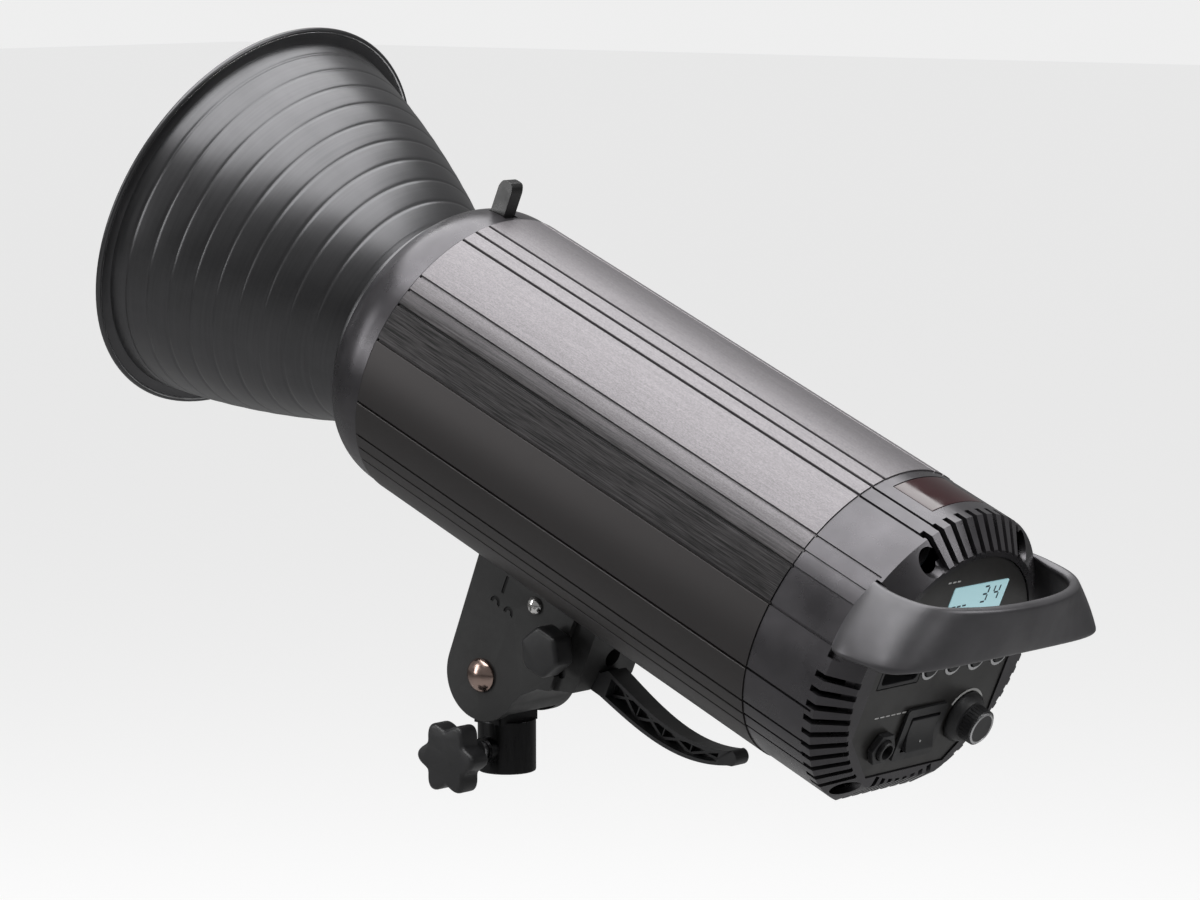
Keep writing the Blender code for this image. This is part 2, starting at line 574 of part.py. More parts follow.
def build_lamps(head):
    """Ceramic base with the ring flash tube, the modelling lamp and its socket."""
    holes = [circle(6 * MM, SMALL)]
    holes += [circle(4.6 * MM, SMALL, (side * 8 * MM, -27.4 * MM)) for side in (1, -1)]
    edge, latch_room = 55.4 * MM, 51.5 * MM
    disc = arc(edge, 99, 441, 30)
    disc += [(disc[-1][0], latch_room), (disc[0][0], latch_room)]
    add_object("lamp_base", slab(disc, -135.7 * MM, -132.7 * MM, "X", holes), WHITE_CERAMIC, head)
    reach = 28 * MM
    legs = 8 * MM
    depth = -sqrt(reach * reach - legs * legs)
    sweep = [radians(a) for a in range(-50, 231, 20)]
    ring = [(-116 * MM, reach * cos(a), reach * sin(a)) for a in sweep]
    first = [(-138 * MM, legs, depth - 0.6 * MM), (-121 * MM, legs, depth - 0.6 * MM),
             (-117 * MM, legs + 1.6 * MM, depth)]
    last = [(x, -y, z) for x, y, z in reversed(first)]
    add_object("flash_tube", swept(first + ring + last, 4.0 * MM, 8), CLEAR_GLASS, head)
    socket = [(-132.4 * MM, 7 * MM), (-132.4 * MM, 17 * MM), (-113 * MM, 16 * MM), (-113 * MM, 13.6 * MM),
              (-130 * MM, 13.6 * MM), (-130 * MM, 7 * MM)]
    add_object("lamp_socket", turned(socket, MEDIUM), WHITE_CERAMIC, head)
    cap = [(-129.6 * MM, 0), (-129.6 * MM, 5 * MM), (-127 * MM, 13 * MM), (-108 * MM, 13 * MM),
           (-108 * MM, 0)]
    add_object("lamp_cap", turned(cap, MEDIUM), BRASS, head)
    bulb_radius, bulb_centre = 22 * MM, -78 * MM
    globe = [(bulb_centre + bulb_radius * cos(radians(a)), bulb_radius * sin(radians(a)))
             for a in range(0, 141, 20)]
    globe[0] = (bulb_centre + bulb_radius, 0)
    bulb = globe + [(-107.7 * MM, 12.6 * MM), (-107.7 * MM, 0)]
    add_object("modelling_lamp", turned(bulb, MEDIUM), CLEAR_GLASS, head)


# ---------------------------------------------------------------- body

def tube_outline():
    """Round tube with groups of fine grooves, mirrored left to right and top to bottom."""
    groove_half = radians(0.55)
    depth = 1.5 * MM
    quarter = [radians(a) for a in (12.7, 27.5, 34.0, 40.6, 62.5, 69.0, 75.6)]
    grooves = quarter + [pi - a for a in reversed(quarter)]
    grooves += [pi + a for a in quarter] + [TURN - a for a in reversed(quarter)]
    points = []
    for index, groove in enumerate(grooves):
        low, high, floor = groove - groove_half, groove + groove_half, TUBE_RADIUS - depth
        for angle, radius in ((low, TUBE_RADIUS), (low, floor), (high, floor), (high, TUBE_RADIUS)):
            points.append((radius * cos(angle), radius * sin(angle)))
        following = grooves[(index + 1) % len(grooves)] + (TURN if index == len(grooves) - 1 else 0)
        start, end = groove + groove_half, following - groove_half
        count = max(1, round((end - start) / radians(6)))
        for i in range(1, count):
            angle = start + (end - start) * i / count
            points.append((TUBE_RADIUS * cos(angle), TUBE_RADIUS * sin(angle)))
    return points


def bore_outline():
    """Bore of the tube, drawn in round the four screw channels."""
    apart, bore, channel = TIE_SCREW_CIRCLE, TUBE_BORE_RADIUS, CHANNEL_RADIUS
    meeting = acos((apart * apart + bore * bore - channel * channel) / (2 * apart * bore))
    opening = acos((bore * cos(meeting) - apart) / channel)
    points = []
    for index, screw in enumerate(TIE_SCREW_ANGLES):
        centre = (apart * cos(screw), apart * sin(screw))
        points += [(centre[0] + channel * cos(screw - b), centre[1] + channel * sin(screw - b))
                   for b in [opening + (TURN - 2 * opening) * i / 10 for i in range(11)]]
        following = TIE_SCREW_ANGLES[(index + 1) % 4] + (TURN if index == 3 else 0)
        start, end = screw + meeting, following - meeting
        count = round((end - start) / radians(7))
        points += [(bore * cos(a), bore * sin(a))
                   for a in [start + (end - start) * i / count for i in range(1, count)]]
    return points


def build_body(head):
    """Extruded tube between the nose and the rear cover."""
    holes = [bore_outline()]
    for angle in TIE_SCREW_ANGLES:
        place = (TIE_SCREW_CIRCLE * cos(angle), TIE_SCREW_CIRCLE * sin(angle))
        holes.append(circle(1.8 * MM, 10, place))
    tube = add_object("body_tube", slab(tube_outline(), -TUBE_BACK, -TUBE_FRONT, "X", holes),
                      BLACK_ALUMINIUM, head, smooth=20)
    cut(tube, rod(2.3 * MM, -75 * MM, -55 * MM, "Z", 16, (-RAIL_BOLT_BACK, 0)), head)


def build_rear_screws(head):
    """Four screws through the rear cover's pillars into the tube's screw channels."""
    tip = -350 * MM
    profile = [(tip, 0), (tip, 1.5 * MM), (SCREW_SEAT, 1.5 * MM), (SCREW_SEAT, 3.6 * MM),
               (SCREW_SEAT - 2.2 * MM, 3.6 * MM), (SCREW_SEAT - 2.2 * MM, 0)]
    for number, angle in enumerate(TIE_SCREW_ANGLES, 1):
        place = (0, TIE_SCREW_CIRCLE * cos(angle), TIE_SCREW_CIRCLE * sin(angle))
        add_object("rear_screw_%d" % number, turned(profile, 12), BARE_STEEL, head, place)


# ---------------------------------------------------------------- inside the tube

def build_power_unit(head):
    """Chassis, capacitors, charging board, transformer and heat sink."""
    chassis = slab(rectangle(108 * MM, 2 * MM, (0, -22 * MM)), -334 * MM, -152 * MM)
    add_object("chassis_plate", chassis, BARE_STEEL, head)
    number = 0
    for height in (-4.6 * MM, 27.8 * MM):
        for side in (1, -1):
            number += 1
            can = [(-262 * MM, 0), (-262 * MM, 15.4 * MM), (-260.5 * MM, 16 * MM), (-158.5 * MM, 16 * MM),
                   (-157 * MM, 15.4 * MM), (-157 * MM, 0)]
            add_object("main_capacitor_%d" % number, turned(can, 24), CAN_BLUE, head,
                       (0, side * 16.2 * MM, height))
    board = slab(rectangle(90 * MM, 1.6 * MM, (0, -30.8 * MM)), -332 * MM, -154 * MM)
    add_object("charge_board", board, BOARD_GREEN, head)
    transformer = slab(rectangle(46 * MM, 40 * MM, (0, -0.6 * MM), 3 * MM, 2), -322 * MM, -272 * MM)
    add_object("charge_transformer", transformer, BARE_STEEL, head)
    fins = [(-22, -32), (22, -32), (22, -50)]
    for x in (16, 8, 0, -8, -16):
        fins += [(x + 3, -50), (x + 3, -36), (x - 3, -36), (x - 3, -50)]
    fins += [(-22, -50)]
    sink = slab([(y * MM, z * MM) for y, z in fins], -310 * MM, -240 * MM)
    add_object("heat_sink", sink, BARE_STEEL, head)


def build_fan(head):
    """Axial fan ahead of the rear cover."""
    middle = -344 * MM
    square = rectangle(78 * MM, 78 * MM, corner=6 * MM, steps=3)
    frame = add_object("fan_frame", slab(square, -352 * MM, -338 * MM, "X", [circle(36.5 * MM, 28)]),
                       BLACK_PLASTIC, head)
    fuse(frame, rod(13 * MM, -352 * MM, -349.5 * MM), head)
    fuse(frame, slab(rectangle(77 * MM, 4 * MM), -351.6 * MM, -349.9 * MM), head)
    fuse(frame, slab(rectangle(4 * MM, 77 * MM), -351.4 * MM, -350.1 * MM), head)
    rotor = add_object("fan_rotor", rod(13 * MM, -5 * MM, 5 * MM), BLACK_PLASTIC, head, (middle, 0, 0))
    blades = bmesh.new()
    for index in range(FAN_BLADES):
        with turned_into(blades, TURN * index / FAN_BLADES) as blade:
            slab(rectangle(25 * MM, 1.6 * MM, (23 * MM, 0)), -5.5 * MM, 5.5 * MM, into=blade)
            bmesh.ops.rotate(blade, verts=blade.verts, matrix=Matrix.Rotation(radians(38), 3, "Y"))
    fuse(rotor, blades, head, (middle, 0, 0))


# ---------------------------------------------------------------- rear cover and controls

def panel_outline(grow=0.0):
    """Control panel: a disc cut straight at the bottom and the sides."""
    radius = PANEL_RADIUS + grow
    half = PANEL_HALF_WIDTH + grow
    bottom = PANEL_BOTTOM - grow
    side_up = sqrt(radius * radius - half * half)
    low_half = sqrt(radius * radius - bottom * bottom)
    top_angle = acos(half / radius)
    arc_points = [(radius * cos(a), radius * sin(a))
                  for a in [top_angle + (pi - 2 * top_angle) * i / 24 for i in range(25)]]
    return arc_points + [(-half, -side_up), (-low_half, bottom), (low_half, bottom), (half, -side_up)]


def vent_cutters():
    """Slots across the chamfer: fans of them at the sides, the top and the nearer bottom."""
    made = bmesh.new()
    for middle, count, inward in ((90, 10, 0), (270, 8, 5.1 * MM), (205, 10, 0), (335, 10, 0)):
        shallow, deep = 60.8 * MM - inward, 53.6 * MM - inward
        profile = [(-412 * MM, deep), (-412 * MM, 72 * MM), (-396 * MM, 72 * MM), (-396 * MM, shallow),
                   (-400.3 * MM, shallow), (-407.1 * MM, deep)]
        for index in range(count):
            angle = radians(middle + (index - (count - 1) / 2) * VENT_PITCH)
            with turned_into(made, angle - pi / 2) as slot:
                slab(profile, -1.3 * MM, 1.3 * MM, "Y", into=slot)
    return made


def foot_floor():
    """Thicker wall behind the cover's flat foot, as an outline seen from the side."""
    outline = [(-370, -64), (-374, -62), (-386, -57.5), (-400, -57.5), (-406.4, -50.1), (-407.5, -50.1),
               (-407.5, -64)]
    return slab([(x * MM, z * MM) for x, z in outline], -27 * MM, 27 * MM, "Y")


def foot_cutter():
    """Takes the underside off the cover: a ramp, the flat foot and the chamfer behind it."""
    slope = (FOOT_EDGE_HEIGHT - FOOT_HEIGHT) / (BACK_FACE - CHAMFER_START)
    past = 2 * MM
    outline = [(-376 * MM, -66 * MM), (-388 * MM, FOOT_HEIGHT), (-CHAMFER_START, FOOT_HEIGHT),
               (-BACK_FACE - past, FOOT_EDGE_HEIGHT + slope * past), (-BACK_FACE - past, -80 * MM),
               (-376 * MM, -80 * MM)]
    return slab(outline, -32 * MM, 32 * MM, "Y")


def handle_pockets():
    """Shallow seats in the cover's shoulder for the two roots of the handle."""
    made = bmesh.new()
    for middle in (24, 156):
        outline = arc(75 * MM, middle - 15.5, middle + 15.5, 4)
        outline += arc(63.2 * MM, middle + 15.5, middle - 15.5, 4)
        slab(outline, -412 * MM, -HANDLE_ROOT + GAP, into=made)
    return made


def build_rear_cover(head):
    """Moulded tail with cooling slots, screw pillars, the sensor window and the panel opening."""
    profile = [(-TUBE_BACK - GAP, SPIGOT_RADIUS), (-356 * MM, SPIGOT_RADIUS), (-356 * MM, 59.6 * MM),
               (-366 * MM, 59.6 * MM), (-369 * MM, 62.6 * MM), (-399.5 * MM, 62.6 * MM),
               (-406.4 * MM, 54 * MM), (-406.4 * MM, 36 * MM), (-412 * MM, 36 * MM), (-412 * MM, 67 * MM),
               (-TUBE_BACK - GAP, 67 * MM)]
    cover = add_object("rear_cover", turned(profile, ROUND), GREY_PLASTIC, head)
    fuse(cover, rods_on_circle(5.9 * MM, -402 * MM, -365.8 * MM), head)
    fuse(cover, foot_floor(), head)
    outside = [(-360 * MM, COVER_RADIUS), (-CHAMFER_START, COVER_RADIUS), (-BACK_FACE, BACK_FACE_RADIUS),
               (-BACK_FACE, 30 * MM), (-420 * MM, 30 * MM), (-420 * MM, 75 * MM), (-360 * MM, 75 * MM)]
    cut(cover, turned(outside, ROUND), head)
    cut(cover, foot_cutter(), head)
    for tool in (rods_on_circle(CHANNEL_RADIUS + GAP, -TUBE_BACK - 2 * GAP, -350 * MM),
                 rods_on_circle(5.0 * MM, -420 * MM, -388 * MM, 14),
                 rods_on_circle(1.9 * MM, -390 * MM, -360 * MM),
                 slab(panel_outline(GAP), -420 * MM, -404 * MM),
                 vent_cutters(),
                 handle_pockets(),
                 curved_window(GAP, 58 * MM, 75 * MM)):
        cut(cover, tool, head)


def curved_window(grow, low, high):
    """The sensor window's block between two radii, or its cutter when it is grown by a gap."""
    reach = 14.8 * (pi / 180) + grow / COVER_RADIUS
    angles = [pi / 2 - reach + 2 * reach * i / 5 for i in range(6)]
    outline = [(high * cos(a), high * sin(a)) for a in angles]
    outline += [(low * cos(a), low * sin(a)) for a in reversed(angles)]
    return slab(outline, -390 * MM - grow, -369.6 * MM + grow)


def handle_edge(width, depth, power, offset, low, high, steps):
    """One outer edge of the strap, from the left root round to the right. It follows a superellipse whose
    centre is behind the roots by the offset, and rises from low at the roots to high at the back."""
    root = width * (1 - (offset / depth) ** power) ** (1 / power)
    start = atan2(offset, root)
    points = []
    for index in range(steps + 1):
        angle = -start + (pi + 2 * start) * index / steps
        reach = (abs(cos(angle) / width) ** power + abs(sin(angle) / depth) ** power) ** (-1 / power)
        behind = offset + reach * sin(angle)
        rise = low + (high - low) * behind / (offset + depth)
        points.append(Vector((-HANDLE_ROOT - behind, reach * cos(angle), rise)))
    return points


def build_handle(head):
    """Wide strap that loops from one side of the cover round behind the panel to the other."""
    steps = 28
    lower = handle_edge(70.9 * MM, 22.7 * MM, 4.2, 17.0 * MM, 13.8 * MM, 23.0 * MM, steps)
    upper = handle_edge(53.8 * MM, 30.9 * MM, 2.3, 9.6 * MM, 41.4 * MM, 46.4 * MM, steps)
    inside = Vector((-400 * MM, 0, 30 * MM))
    edge = 1 * MM
    rings = []
    made = bmesh.new()
    for index, (low, high) in enumerate(zip(lower, upper)):
        before, after = max(index - 1, 0), min(index + 1, steps)
        run = lower[after] + upper[after] - lower[before] - upper[before]
        up = (high - low).normalized()
        out = run.cross(up).normalized()
        centre = (low + high) / 2
        if out.dot(centre - inside) < 0:
            out = -out
        half = (high - low).length / 2
        clear = min(1, (-HANDLE_ROOT - centre.x) / (12 * MM))
        thick = 2.6 * MM + 1.8 * MM * clear
        swell = 1.8 * MM - 0.9 * MM * clear
        corners = [(half - edge, 0), (half, -edge), (half, edge - thick), (half - edge, -thick),
                   (0, swell - thick), (edge - half, -thick), (-half, edge - thick), (-half, -edge),
                   (edge - half, 0), (0, swell)]
        rings.append([made.verts.new(centre + up * a + out * b) for a, b in corners])
    for first, second in zip(rings, rings[1:]):
        for i in range(len(first)):
            j = (i + 1) % len(first)
            made.faces.new((first[i], first[j], second[j], second[i]))
    made.faces.new(rings[0])
    made.faces.new(rings[-1])
    return add_object("carry_handle", made, GREY_PLASTIC, head, smooth=45)


def build_panel(head):
    """Panel plate and everything that sits in it."""
    holes = [rectangle(*WINDOW_SIZE, WINDOW_CENTRE), rectangle(*ROCKER_SIZE, ROCKER_CENTRE),
             rectangle(*INLET_SIZE, INLET_CENTRE), circle(4.6 * MM, MEDIUM, JACK_CENTRE),
             circle(3.6 * MM, SMALL, DIAL_CENTRE)]
    holes += [circle(BUTTON_RADIUS + GAP, SMALL, (left, BUTTON_HEIGHT)) for left in BUTTON_LEFTS]
    back = -PANEL_FACE + 2.6 * MM
    add_object("control_panel", slab(panel_outline(), -PANEL_FACE, back, "X", holes), BLACK_PLASTIC, head)
    glass = rectangle(WINDOW_SIZE[0] - 0.6 * MM, WINDOW_SIZE[1] - 0.6 * MM, WINDOW_CENTRE)
    add_object("display_window", slab(glass, -PANEL_FACE, -PANEL_FACE + 1.6 * MM), SCREEN_BLUE, head)
    outline = [(-40 * MM, 24 * MM), (-32 * MM, 40 * MM), (22 * MM, 40 * MM), (22 * MM, 22 * MM),
               (11 * MM, 18 * MM), (11 * MM, -12 * MM), (-14 * MM, -12 * MM), (-14 * MM, -38 * MM),
               (-34 * MM, -34 * MM), (-46 * MM, -12 * MM), (-46 * MM, 12 * MM)]
    add_object("panel_board", slab(outline, back + 2.4 * MM, back + 4 * MM), BOARD_GREEN, head)
    for number, left in enumerate(BUTTON_LEFTS, 1):
        cap = [(3.6 * MM, 0), (3.6 * MM, BUTTON_RADIUS), (-0.9 * MM, BUTTON_RADIUS),
               (-1.2 * MM, BUTTON_RADIUS - 0.4 * MM), (-1.2 * MM, 0)]
        at = (-PANEL_FACE, left, BUTTON_HEIGHT)
        add_object("button_%d" % number, turned(cap, SMALL), BLACK_PLASTIC, head, at)


def build_dial(head):
    at = (-PANEL_FACE, *DIAL_CENTRE)
    profile = [(-0.4 * MM, 3.3 * MM), (-0.4 * MM, 11 * MM), (-2 * MM, 11 * MM), (-5 * MM, 9 * MM),
               (-5.2 * MM, 7.8 * MM), (-10.6 * MM, 7.7 * MM), (-11.2 * MM, 7.1 * MM), (-11.2 * MM, 0),
               (4.6 * MM, 0), (4.6 * MM, 3.2 * MM)]
    add_object("power_dial", turned(profile, 28), BLACK_PLASTIC, head, at)


def build_rocker(head):
    """Mains rocker switch in its frame, rocking about a line across the lamp."""
    width, height = ROCKER_SIZE
    frame_outline = rectangle(width + 2.4 * MM, height + 2.4 * MM, ROCKER_CENTRE, 1.5 * MM, 3)
    opening = rectangle(width - 5 * MM, height - 5 * MM, ROCKER_CENTRE)
    frame = slab(frame_outline, -PANEL_FACE - 1.6 * MM, -PANEL_FACE - GAP, "X", [opening])
    body = add_object("rocker_frame", frame, BLACK_PLASTIC, head)
    box = slab(rectangle(width - 0.8 * MM, height - 0.8 * MM, ROCKER_CENTRE),
               -PANEL_FACE - 1.0 * MM, -PANEL_FACE + 16 * MM, "X", [opening])
    fuse(body, box, head)
    floor = slab(rectangle(width - 2 * MM, height - 2 * MM, ROCKER_CENTRE),
                 -PANEL_FACE + 12 * MM, -PANEL_FACE + 15 * MM)
    fuse(body, floor, head)
    depth = 4.5 * MM
    reach = (height - 5 * MM) / 2 - 1.1 * MM
    profile = [(-reach, -2.6 * MM - 1.6 * MM), (0, -2.2 * MM), (reach, -2.6 * MM + 0.4 * MM),
               (reach - 0.8 * MM, depth), (-reach + 0.8 * MM, depth)]
    half = (width - 5 * MM) / 2 - 0.4 * MM
    made = bmesh.new()
    slab([(x, z) for z, x in profile], -half, half, "Y", into=made)
    at = (-PANEL_FACE, *ROCKER_CENTRE)
    add_object("rocker_switch", made, BLACK_PLASTIC, head, at)


def build_sockets(head):
    """Sync jack with its nut, and the mains inlet with its three pins."""
    at = (-PANEL_FACE, *JACK_CENTRE)
    jack = [(-5 * MM, 3.2 * MM), (-5 * MM, 4.3 * MM), (3 * MM, 4.3 * MM), (3 * MM, 7 * MM),
            (20 * MM, 7 * MM), (20 * MM, 0), (17 * MM, 0), (17 * MM, 3.2 * MM)]
    add_object("sync_jack", turned(jack, 24), BLACK_PLASTIC, head, at)
    nut = slab(circle(7.4 * MM, 6), -3.2 * MM, -GAP, "X", [circle(4.6 * MM, 24)])
    add_object("sync_jack_nut", nut, BLACK_PLASTIC, head, at)
    width, height = INLET_SIZE
    outer = rectangle(width - 0.6 * MM, height - 0.6 * MM, INLET_CENTRE)
    inner = rectangle(width - 4 * MM, height - 4 * MM, INLET_CENTRE)
    shell = slab(outer, -PANEL_FACE, -PANEL_FACE + 22 * MM, "X", [inner])
    inlet = add_object("power_inlet", shell, BLACK_PLASTIC, head)
    floor = rectangle(width - 2 * MM, height - 2 * MM, INLET_CENTRE)
    fuse(inlet, slab(floor, -PANEL_FACE + 17 * MM, -PANEL_FACE + 21 * MM), head)
    pins = bmesh.new()
    for across, up in ((-7.5 * MM, -1 * MM), (0, 3 * MM), (7.5 * MM, -1 * MM)):
        centre = (INLET_CENTRE[0] + across, INLET_CENTRE[1] + up)
        slab(rectangle(2 * MM, 4 * MM, centre), -PANEL_FACE + 3 * MM, -PANEL_FACE + 18 * MM, into=pins)
    fuse(inlet, pins, head)


# ---------------------------------------------------------------- assembly

def main():
    for old in list(bpy.data.objects):
        bpy.data.objects.remove(old, do_unlink=True)
    build_stand_socket()
    build_stand_clamp()
    pivot = add_empty("tilt_pivot", at=PIVOT, turn=(0, -REST_TILT, 0))
    head = add_empty("head_frame", pivot, (PIVOT_BEHIND_MOUTH, 0, AXIS_ABOVE_PIVOT))
    build_bracket(head)
    build_pivot_hardware(head)
    build_mounting_rail(head)
    build_umbrella_clamp(head)
    build_lock_lever(head)
    build_brake_shoe(head)
    build_reflector(head)
    build_front_housing(head)
    build_latch(head)
    build_bayonet_ring(head)
    build_lamps(head)
    build_body(head)
    build_rear_screws(head)
    build_power_unit(head)
    build_fan(head)
    build_rear_cover(head)
    add_object("sensor_window", curved_window(0.0, 62.9 * MM, COVER_RADIUS), RED_WINDOW, head)
    build_handle(head)
    build_panel(head)
    build_dial(head)
    build_rocker(head)
    build_sockets(head)


main()
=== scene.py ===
import json
from contextlib import contextmanager
from math import acos, atan2, cos, degrees, pi, radians, sin, sqrt

import bmesh
import bpy
from mathutils import Matrix, Vector


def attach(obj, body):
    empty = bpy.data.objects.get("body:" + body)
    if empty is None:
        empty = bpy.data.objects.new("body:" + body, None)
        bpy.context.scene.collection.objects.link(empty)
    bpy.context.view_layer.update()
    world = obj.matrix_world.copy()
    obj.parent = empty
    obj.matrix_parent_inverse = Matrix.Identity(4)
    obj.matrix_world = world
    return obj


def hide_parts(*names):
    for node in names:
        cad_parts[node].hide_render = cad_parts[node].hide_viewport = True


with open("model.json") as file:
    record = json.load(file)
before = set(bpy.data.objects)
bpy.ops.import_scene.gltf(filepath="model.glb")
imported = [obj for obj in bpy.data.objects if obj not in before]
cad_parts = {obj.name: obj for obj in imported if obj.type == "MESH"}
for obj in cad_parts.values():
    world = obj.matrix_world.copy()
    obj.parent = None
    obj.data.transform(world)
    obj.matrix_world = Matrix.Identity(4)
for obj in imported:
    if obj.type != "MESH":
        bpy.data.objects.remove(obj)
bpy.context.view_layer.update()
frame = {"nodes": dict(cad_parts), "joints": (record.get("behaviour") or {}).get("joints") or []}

# Looks of the studio strobe. Shapes are drawn in millimetres in the lamp's own frame: the origin is the
# centre of the reflector's mouth, +X is the aim, +Y the lamp's left and +Z its top. So x = -100 is 100 mm
# behind the mouth. The stand's side is drawn in the frame's own axes, also in millimetres.

TO_METRES = 0.001
TURN = 2 * pi
FINE, MIDDLING = 144, 64        # segments in a full turn
GAP = 0.3                       # clearance round an inserted piece

JOINTS = {joint["name"]: joint for joint in frame["joints"]}
AIM = Vector(JOINTS["reflector_twist"]["axis"]).normalized()
LEFT = Vector((0, 1, 0))
TURNED_TO_AIM = Matrix((AIM, LEFT, AIM.cross(LEFT))).transposed().to_4x4()
HEAD = Matrix.Translation(JOINTS["reflector_twist"]["pos_m"]) @ TURNED_TO_AIM
STAND = Matrix.Identity(4)
PIVOT = Vector(JOINTS["head_tilt"]["pos_m"]) / TO_METRES

# Stations behind the mouth and radii about the lamp's axis
TUBE_FRONT, TUBE_BACK, TUBE_RADIUS = 139.5, 364.5, 66.0
COVER_RADIUS, CHAMFER_START, BACK_FACE, BACK_FACE_RADIUS = 65.5, 400.5, 410.0, 54.5
HANDLE_ROOT = 398.2
PANEL_FACE = 409.4
PIVOT_BEHIND, PIVOT_BELOW = 213.4, 110.9

# Cross-pieces, as (x, up): where each one's axis passes
PIVOT_AXIS = (-PIVOT_BEHIND, -PIVOT_BELOW)
LEVER_AXIS = (-250.0, -89.5)
UMBRELLA_AXIS = (-247.5, -78.6)
CHEEK_SCREW_AXIS = (-228, -69)
LATCH_AXIS = (-131, 55)
STAND_SCREW_AXIS = (0, 10.5)
TIE_SCREWS = [(59.3 * cos(radians(a)), 59.3 * sin(radians(a))) for a in (59, 121, 239, 301)]
GROOVE_ANGLES = (12.7, 27.5, 34.0, 40.6, 62.5, 69.0, 75.6)
GROOVES = sorted(start + sign * angle for angle in GROOVE_ANGLES
                 for start, sign in ((0, 1), (180, -1), (180, 1), (360, -1)))

# Controls, as (left, up)
WINDOW_CENTRE, WINDOW_SIZE = (-6.2, 29.0), (37.0, 20.0)
BUTTONS = [(left, 3.0) for left in (8.0, -7.4, -22.8, -38.2)]
DIAL_CENTRE = (-28.0, -24.5)
ROCKER_CENTRE, ROCKER_SIZE = (0.5, -27.0), (24.0, 21.0)
JACK_CENTRE = (24.5, -30.5)
INLET_CENTRE, INLET_SIZE = (27.3, 7.0), (27.0, 20.0)


# ---------------------------------------------------------------- outlines

def circle(radius, count=48, centre=(0.0, 0.0)):
    return [(centre[0] + radius * cos(TURN * i / count), centre[1] + radius * sin(TURN * i / count))
            for i in range(count)]


def arc(radius, start, end, count, centre=(0.0, 0.0)):
    """Points from start to end degrees, both included."""
    angles = [radians(start + (end - start) * i / count) for i in range(count + 1)]
    return [(centre[0] + radius * cos(a), centre[1] + radius * sin(a)) for a in angles]


def rectangle(width, height, centre=(0.0, 0.0), corner=0.0, steps=5):
    half_w, half_h = width / 2, height / 2
    points = []
    for quarter, (sx, sy) in enumerate(((1, 1), (-1, 1), (-1, -1), (1, -1))):
        middle = (centre[0] + sx * (half_w - corner), centre[1] + sy * (half_h - corner))
        turn = 90 * quarter
        points += arc(corner, turn, turn + 90, steps, middle) if corner else [middle]
    return points


def rounded(points, radius, steps=4):
    """An outline with each corner replaced by a short curve."""
    result = []
    count = len(points)
    for i, point in enumerate(points):
        here = Vector(point)
        before, after = Vector(points[i - 1]) - here, Vector(points[(i + 1) % count]) - here
        reach = min(radius, before.length * 0.45, after.length * 0.45)
        start, end = here + before.normalized() * reach, here + after.normalized() * reach
        for k in range(steps + 1):
            t = k / steps
            result.append(tuple(start * (1 - t) ** 2 + here * 2 * t * (1 - t) + end * t ** 2))
    return result


def on_axis(axis, along, across, up):
    return {"X": (along, across, up), "Y": (across, along, up), "Z": (across, up, along)}[axis]


# ---------------------------------------------------------------- solids

def slab(outline, low, high, axis="X", holes=(), into=None):
    made = bmesh.new() if into is None else into
    edges = []
    for loop in (outline, *holes):
        corners = [made.verts.new(on_axis(axis, low, a, b)) for a, b in loop]
        edges += [made.edges.new(pair) for pair in zip(corners, corners[1:] + corners[:1])]
    filled = bmesh.ops.triangle_fill(made, edges=edges, use_beauty=True, use_dissolve=True)
    faces = [item for item in filled["geom"] if isinstance(item, bmesh.types.BMFace)]
    grown = bmesh.ops.extrude_face_region(made, geom=faces)
    moved = [item for item in grown["geom"] if isinstance(item, bmesh.types.BMVert)]
    bmesh.ops.translate(made, verts=moved, vec=on_axis(axis, high - low, 0, 0))
    return made


def turned(profile, segments=FINE, axis="X", centre=(0.0, 0.0), into=None):
    made = bmesh.new() if into is None else into
    rings = []
    for along, radius in profile:
        ring = circle(radius, segments, centre) if radius else [centre]
        rings.append([made.verts.new(on_axis(axis, along, a, b)) for a, b in ring])
    for first, second in zip(rings, rings[1:] + rings[:1]):
        if len(first) == 1 and len(second) == 1:
            continue
        for i in range(segments):
            j = (i + 1) % segments
            corners = [first[i % len(first)], first[j % len(first)]]
            corners += [second[j % len(second)], second[i % len(second)]]
            made.faces.new(list(dict.fromkeys(corners)))
    return made


def rod(radius, low, high, axis="X", centre=(0.0, 0.0), segments=32, into=None):
    return slab(circle(radius, segments, centre), low, high, axis, into=into)


def lofted(rings, into=None):
    """A closed skin over rings of points, with flat ends."""
    made = bmesh.new() if into is None else into
    loops = [[made.verts.new(p) for p in ring] for ring in rings]
    for first, second in zip(loops, loops[1:]):
        for i in range(len(first)):
            j = (i + 1) % len(first)
            made.faces.new((first[i], first[j], second[j], second[i]))
    made.faces.new(loops[0])
    made.faces.new(loops[-1])
    return made


def swept(path, radius, segments=16, into=None):
    points = [Vector(p) for p in path]
    side = (points[1] - points[0]).orthogonal().normalized()
    rings = []
    for index, point in enumerate(points):
        ahead = (points[min(index + 1, len(points) - 1)] - points[max(index - 1, 0)]).normalized()
        side = (side - ahead * side.dot(ahead)).normalized()
        other = ahead.cross(side)
        rings.append([point + side * a + other * b for a, b in circle(radius, segments)])
    return lofted(rings, into)


@contextmanager
def turned_into(target, angle, axis="X", centre=(0, 0, 0)):
    """A fresh bmesh whose contents are turned about an axis and then added to the target."""
    fresh = bmesh.new()
    yield fresh
    bmesh.ops.rotate(fresh, cent=centre, verts=fresh.verts, matrix=Matrix.Rotation(angle, 3, axis))
    carrier = bpy.data.meshes.new("carrier")
    fresh.to_mesh(carrier)
    fresh.free()
    target.from_mesh(carrier)
    bpy.data.meshes.remove(carrier)


# ---------------------------------------------------------------- pieces

